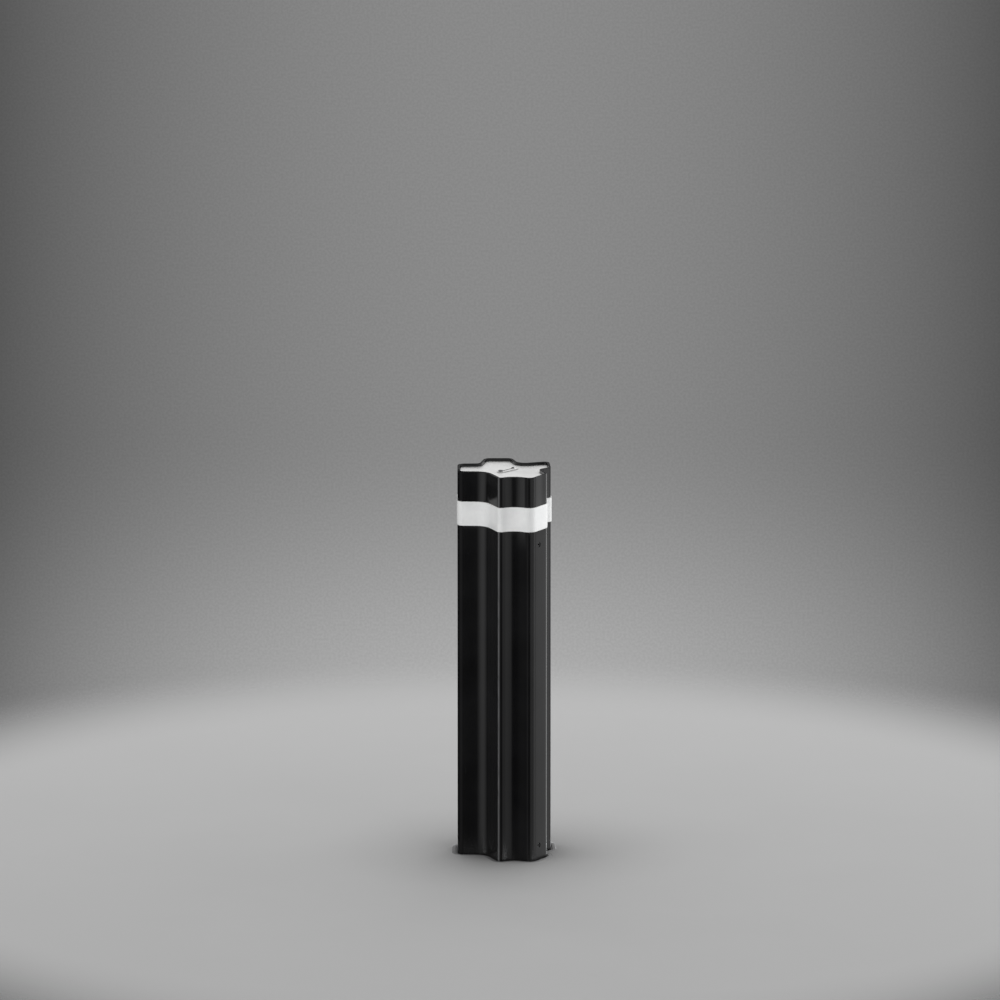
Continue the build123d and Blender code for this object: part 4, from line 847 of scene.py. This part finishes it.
MATERIALS = {
    "black_coating": black_coating(),
    "reflective_white": reflective_white(),
    "cap_metal": cap_metal(),
    "galvanised_steel": galvanised("galvanised_steel"),
    "weld": galvanised("weld_zinc", spangle_scale=300, depth=0.5),
}
FINISHES = {
    "stainless_steel": (metal, dict(dark=(0.50, 0.50, 0.49), light=(0.66, 0.66, 0.65),
                                    rough=0.30)),
    "bright_steel": (metal, dict(dark=(0.55, 0.56, 0.57), light=(0.72, 0.73, 0.74), rough=0.20,
                                 spread=0.08, streak=(1, 1, 6), streak_scale=420, depth=0.10,
                                 stain=(0.30, 0.22, 0.10), stain_amount=0.30)),
    "dark_steel": (metal, dict(dark=(0.055, 0.055, 0.06), light=(0.11, 0.11, 0.115),
                               rough=0.38, spread=0.12, edge_light=0.35)),
    "spring_steel": (metal, dict(dark=(0.13, 0.13, 0.14), light=(0.22, 0.22, 0.23),
                                 rough=0.42)),
    # real coated steel collar, its dark grey chosen to read as the contact shadow round the
    # column's foot
    "collar_steel": (plastic, dict(dark=(0.165, 0.165, 0.167), light=(0.215, 0.215, 0.217),
                                   rough=0.68, grain=700, edge_light=0.2, spec=0.3)),
    "cast_aluminium": (metal, dict(dark=(0.52, 0.53, 0.54), light=(0.68, 0.69, 0.70),
                                   rough=0.44, spread=0.16, streak_scale=520, depth=0.35,
                                   stain=(0.30, 0.30, 0.29), stain_amount=0.35)),
    "bronze": (metal, dict(dark=(0.50, 0.33, 0.14), light=(0.68, 0.47, 0.22), rough=0.28,
                           spread=0.12, streak=(1, 1, 5), streak_scale=600,
                           stain=(0.20, 0.13, 0.06), stain_amount=0.4)),
    "black_plastic": (plastic, dict(dark=(0.020, 0.020, 0.021), light=grey(0.040),
                                    rough=0.52)),
    "grey_plastic": (plastic, dict(dark=(0.40, 0.41, 0.42), light=(0.50, 0.51, 0.52),
                                   rough=0.48, grain=1100, depth=0.4)),
    "guide_plastic": (plastic, dict(dark=(0.74, 0.72, 0.66), light=(0.86, 0.85, 0.80),
                                    rough=0.36, grain=300, depth=0.15)),
    "sensor_plastic": (plastic, dict(dark=(0.78, 0.29, 0.035), light=(0.90, 0.38, 0.06),
                                     rough=0.40)),
    "black_rubber": (plastic, dict(dark=grey(0.016), light=(0.034, 0.034, 0.033), rough=0.66,
                                   grain=900, depth=0.4, spec=0.3)),
    # real rubber seal, its mid grey chosen to read as the contact shadow in the gap at the
    # column's foot
    "seal_rubber": (plastic, dict(dark=(0.125, 0.125, 0.127), light=(0.165, 0.165, 0.167),
                                  rough=0.66, grain=900, depth=0.4, spec=0.3)),
    "grey_cable": (plastic, dict(dark=(0.24, 0.24, 0.25), light=(0.34, 0.34, 0.35),
                                 rough=0.50, grain=1300, depth=0.3)),
    "motor_paint": (plastic, dict(dark=(0.035, 0.04, 0.045), light=(0.065, 0.07, 0.078),
                                  rough=0.30, grain=480, depth=0.18, edge_light=0.25,
                                  spec=0.5)),
}
for name, (build, settings) in FINISHES.items():
    MATERIALS[name] = build(name, **settings)

for name, node in NODES.items():
    material = MATERIALS[SLOT_OF[name]]
    if not node.material_slots:
        node.data.materials.append(material)
    for slot in node.material_slots:
        slot.material = material
for obj in list(bpy.context.scene.objects):
    if "slot" in obj and obj.type == "MESH":
        obj.data.materials.clear()
        obj.data.materials.append(MATERIALS[obj["slot"]])

# ------------------------------------------------------------------ floor
FLOOR_RADII = (0.095, 0.15, 0.25, 0.45, 0.8, 1.12)


def floor_mesh():
    """Disc of rings round an opening that clears the collar."""
    hole = [(x * MM, y * MM) for x, y in lobed_loop(COLLAR_OUTER + 0.05)]
    angles = [math.atan2(y, x) for x, y in hole]
    rising = [angles[0]]                   # unwrapped, and never turning back
    for a in angles[1:]:
        while a < rising[-1] - math.pi:
            a += 2 * math.pi
        rising.append(max(a, rising[-1] + 1e-4))
    rings = [hole]
    for radius in FLOOR_RADII:
        rings.append([(radius * math.cos(a), radius * math.sin(a)) for a in rising])
    bm = bmesh.new()
    layers = [[bm.verts.new((x, y, 0.0)) for x, y in points] for points in rings]
    for a, b in zip(layers, layers[1:]):
        for i in range(len(hole)):
            k = (i + 1) % len(hole)
            bm.faces.new((a[i], b[i], b[k], a[k]))
    bmesh.ops.recalc_face_normals(bm, faces=bm.faces)
    if sum(f.normal.z for f in bm.faces) < 0:
        bmesh.ops.reverse_faces(bm, faces=bm.faces)
    mesh = bpy.data.meshes.new("studio_floor")
    bm.to_mesh(mesh)
    bm.free()
    return mesh


def floor_material():
    """Pale matt grey with a painted contact shadow close to the column, painted paler further
    out, clear towards the rim.
    """
    g = Graph(bpy.data.materials.new("studio_floor"))
    reach = g.node("VectorMath", out=1, p_operation="LENGTH", i_0=g.coords["Object"])
    grain = g.noise(scale=1500, detail=2)
    patch = g.noise(scale=4, detail=4)
    color = g.mix(patch.fade(start=0.3, end=0.7), grey(0.576), grey(0.588))
    color = g.tint(color, grain.fade(start=0.3, end=0.7), amount=0.10, to=grey(0.50))
    # painted light: the floor's colour is paler further from the column, evening out the
    # fall-off of the lamps
    color = g.mix(reach.fade(start=0.30, end=1.05), color, grey(0.606))
    # painted contact shadow: darker where the ambient occlusion finds the column and collar
    # close by
    openness = g.node("AmbientOcclusion", out=1, p_samples=6, Distance=0.19)
    shade = g.math("SUBTRACT", 1.0, openness, clamp=True)
    color = g.tint(color, shade, amount=0.78, to=grey(0.0))
    matt = g.node("BsdfPrincipled", Base_Color=color, Roughness=0.85, Specular_IOR_Level=0.1)
    clear = g.node("BsdfTransparent")
    blend = g.node("MixShader", i_0=reach.fade(start=0.76, end=1.10), i_1=matt, i_2=clear)
    g.put(g.out.inputs["Surface"], blend)
    return g.owner


floor = bpy.data.objects.new("studio_floor", floor_mesh())
bpy.context.scene.collection.objects.link(floor)
floor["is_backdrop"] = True
floor.visible_glossy = False
floor.data.materials.append(floor_material())

# ------------------------------------------------------------------ world
# Strip lights seen in reflections: azimuth in degrees, 0 to the front and + to the right,
# and brightness
STRIPS = [(-180, 0.02), (-160, 0.004), (-112, 0.02), (-98, 0.05), (-86, 0.18), (-72, 0.52),
          (-58, 0.70), (-44, 0.66), (-30, 0.46), (-17, 0.18), (-9, 0.02), (8, 0.012),
          (20, 0.42), (50, 0.55), (60, 0.2), (67, 0.38), (74, 1.15), (84, 1.15), (92, 0.42),
          (118, 0.55), (132, 0.6), (150, 0.85), (168, 0.8), (180, 0.40)]
AMBIENT = grey(0.27)


def camera_backdrop(g):
    """Plain grey sweep, paler low down and darker at the sides, with a fine speckle."""
    screen_x, screen_y, _ = g.split(g.coords["Window"])
    level = screen_y.fade(start=0.58, end=0.26, low=0.25, high=0.43)
    across = g.math("ABSOLUTE", screen_x * 2.0 - 1.0)
    backdrop = level * (1.0 - g.math("POWER", across, 2.0) * 0.6)
    speckle = g.node("TexNoise", Scale=420, Detail=1, Vector=g.coords["Window"])
    speckle = speckle.fade(start=0.25, end=0.75, low=0.955, high=1.045)
    return g.node("VectorMath", p_operation="SCALE", i_0=backdrop, Scale=speckle)


def reflected_studio(g):
    """Strip lights round the horizon and below, a soft sky above."""
    x, y, z = g.split(g.coords["Generated"])
    azimuth = g.math("ARCTAN2", x, y * -1.0)
    ramp = g.tree.nodes.new("ShaderNodeValToRGB")
    ramp.color_ramp.interpolation = "EASE"
    g.put(ramp.inputs[0], azimuth / (2 * math.pi) + 0.5)
    stops = ramp.color_ramp.elements
    while len(stops) > 1:
        stops.remove(stops[-1])
    for i, (degrees, level) in enumerate(STRIPS):
        position = (degrees + 180) / 360
        stop = stops[0] if i == 0 else stops.new(position)
        stop.position = position
        stop.color = (*grey(level), 1)
    sky = y.fade(start=-0.9, end=0.7, low=0.45, high=0.95)
    return g.mix(z.fade(start=0.0, end=0.14), ramp.outputs[0], sky)


world = bpy.data.worlds.new("studio")
bpy.context.scene.world = world
world.cycles.sampling_method = "NONE"
world_graph = Graph(world, "OutputWorld")
backdrop_color = camera_backdrop(world_graph)
studio = reflected_studio(world_graph)
ray = world_graph.tree.nodes.new("ShaderNodeLightPath").outputs
seen = world_graph.mix(ray["Is Glossy Ray"], AMBIENT, studio)
seen = world_graph.mix(ray["Is Camera Ray"], seen, backdrop_color)
world_graph.put(world_graph.out.inputs[0], world_graph.node("Background", i_0=seen))

# ------------------------------------------------------------------ lights
buried = bpy.data.collections.new("buried")
for obj in bpy.context.scene.objects:
    if obj.type == "MESH" and body_of(obj) in (["ground_unit"], ["screw"], ["pinion"]):
        if not obj.name.startswith(("surface_collar", "wiper")):
            buried.objects.link(obj)
parts_lit = bpy.data.collections.new("parts_lit")
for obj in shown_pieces():
    parts_lit.objects.link(obj)
ground_lit = bpy.data.collections.new("ground_lit")
ground_lit.objects.link(floor)

COLUMN_AIM, FLOOR_AIM, BURIED_AIM = (0, 0, 0.3), (0, 0, 0), (0, 0, -0.45)
# Name, place, aim, (width, height), watts, the only objects it lights
LIGHTS = [
    ("key_right", (3.3, 0.9, 1.5), (0, 0, 0.25), (1.5, 2.4), 128, parts_lit),
    ("fill_front", (-1.5, -3.6, 2.3), COLUMN_AIM, (1.6, 1.6), 74, parts_lit),
    ("top_soft", (0.0, 1.3, 2.8), FLOOR_AIM, (2.4, 2.0), 26, parts_lit),
    ("floor_soft", (0.15, 0.45, 2.2), FLOOR_AIM, (4.6, 4.6), 49, ground_lit),
    ("floor_back", (0.12, 1.35, 2.5), FLOOR_AIM, (1.3, 1.1), 9, ground_lit),
    ("low_right", (2.6, -1.9, 0.2), BURIED_AIM, (1.2, 1.6), 66, buried),
    ("low_left", (-2.8, -1.2, 0.0), BURIED_AIM, (1.0, 1.8), 38, buried),
    ("low_back", (1.0, 3.0, 0.1), BURIED_AIM, (1.4, 1.6), 46, buried),
]
for name, place, aim, size, watts, receivers in LIGHTS:
    light = bpy.data.lights.new(name, "AREA")
    light.shape = "RECTANGLE"
    light.size, light.size_y = size
    light.energy = watts
    lamp = bpy.data.objects.new(name, light)
    bpy.context.scene.collection.objects.link(lamp)
    lamp.location = place
    lamp.rotation_mode = "QUATERNION"
    lamp.rotation_quaternion = (Vector(aim) - Vector(place)).to_track_quat("-Z", "Y")
    lamp.visible_glossy = receivers is buried
    lamp.visible_camera = False
    lamp.light_linking.receiver_collection = receivers
    if receivers is not ground_lit:        # on the floor, every object casts its shadow
        lamp.light_linking.blocker_collection = receivers

# ------------------------------------------------------------------ camera
CAMERA_AIM = (-0.0054, 0, 0.4584)
CAMERA_DISTANCE = 20
CAMERA_ELEVATION = math.radians(12.53)
cam_data = bpy.data.cameras.new("camera")
cam = bpy.data.objects.new("camera", cam_data)
bpy.context.scene.collection.objects.link(cam)
cam_data.sensor_width = 36
cam_data.lens = 566
cam_data.clip_end = 200
toward = Vector((0, -math.cos(CAMERA_ELEVATION), math.sin(CAMERA_ELEVATION)))
cam.location = Vector(CAMERA_AIM) + toward * CAMERA_DISTANCE
cam.rotation_mode = "QUATERNION"
cam.rotation_quaternion = (-toward).to_track_quat("-Z", "Y")
bpy.context.scene.camera = cam
bpy.context.scene.view_settings.view_transform = "Standard"
bpy.context.scene.view_settings.look = "None"
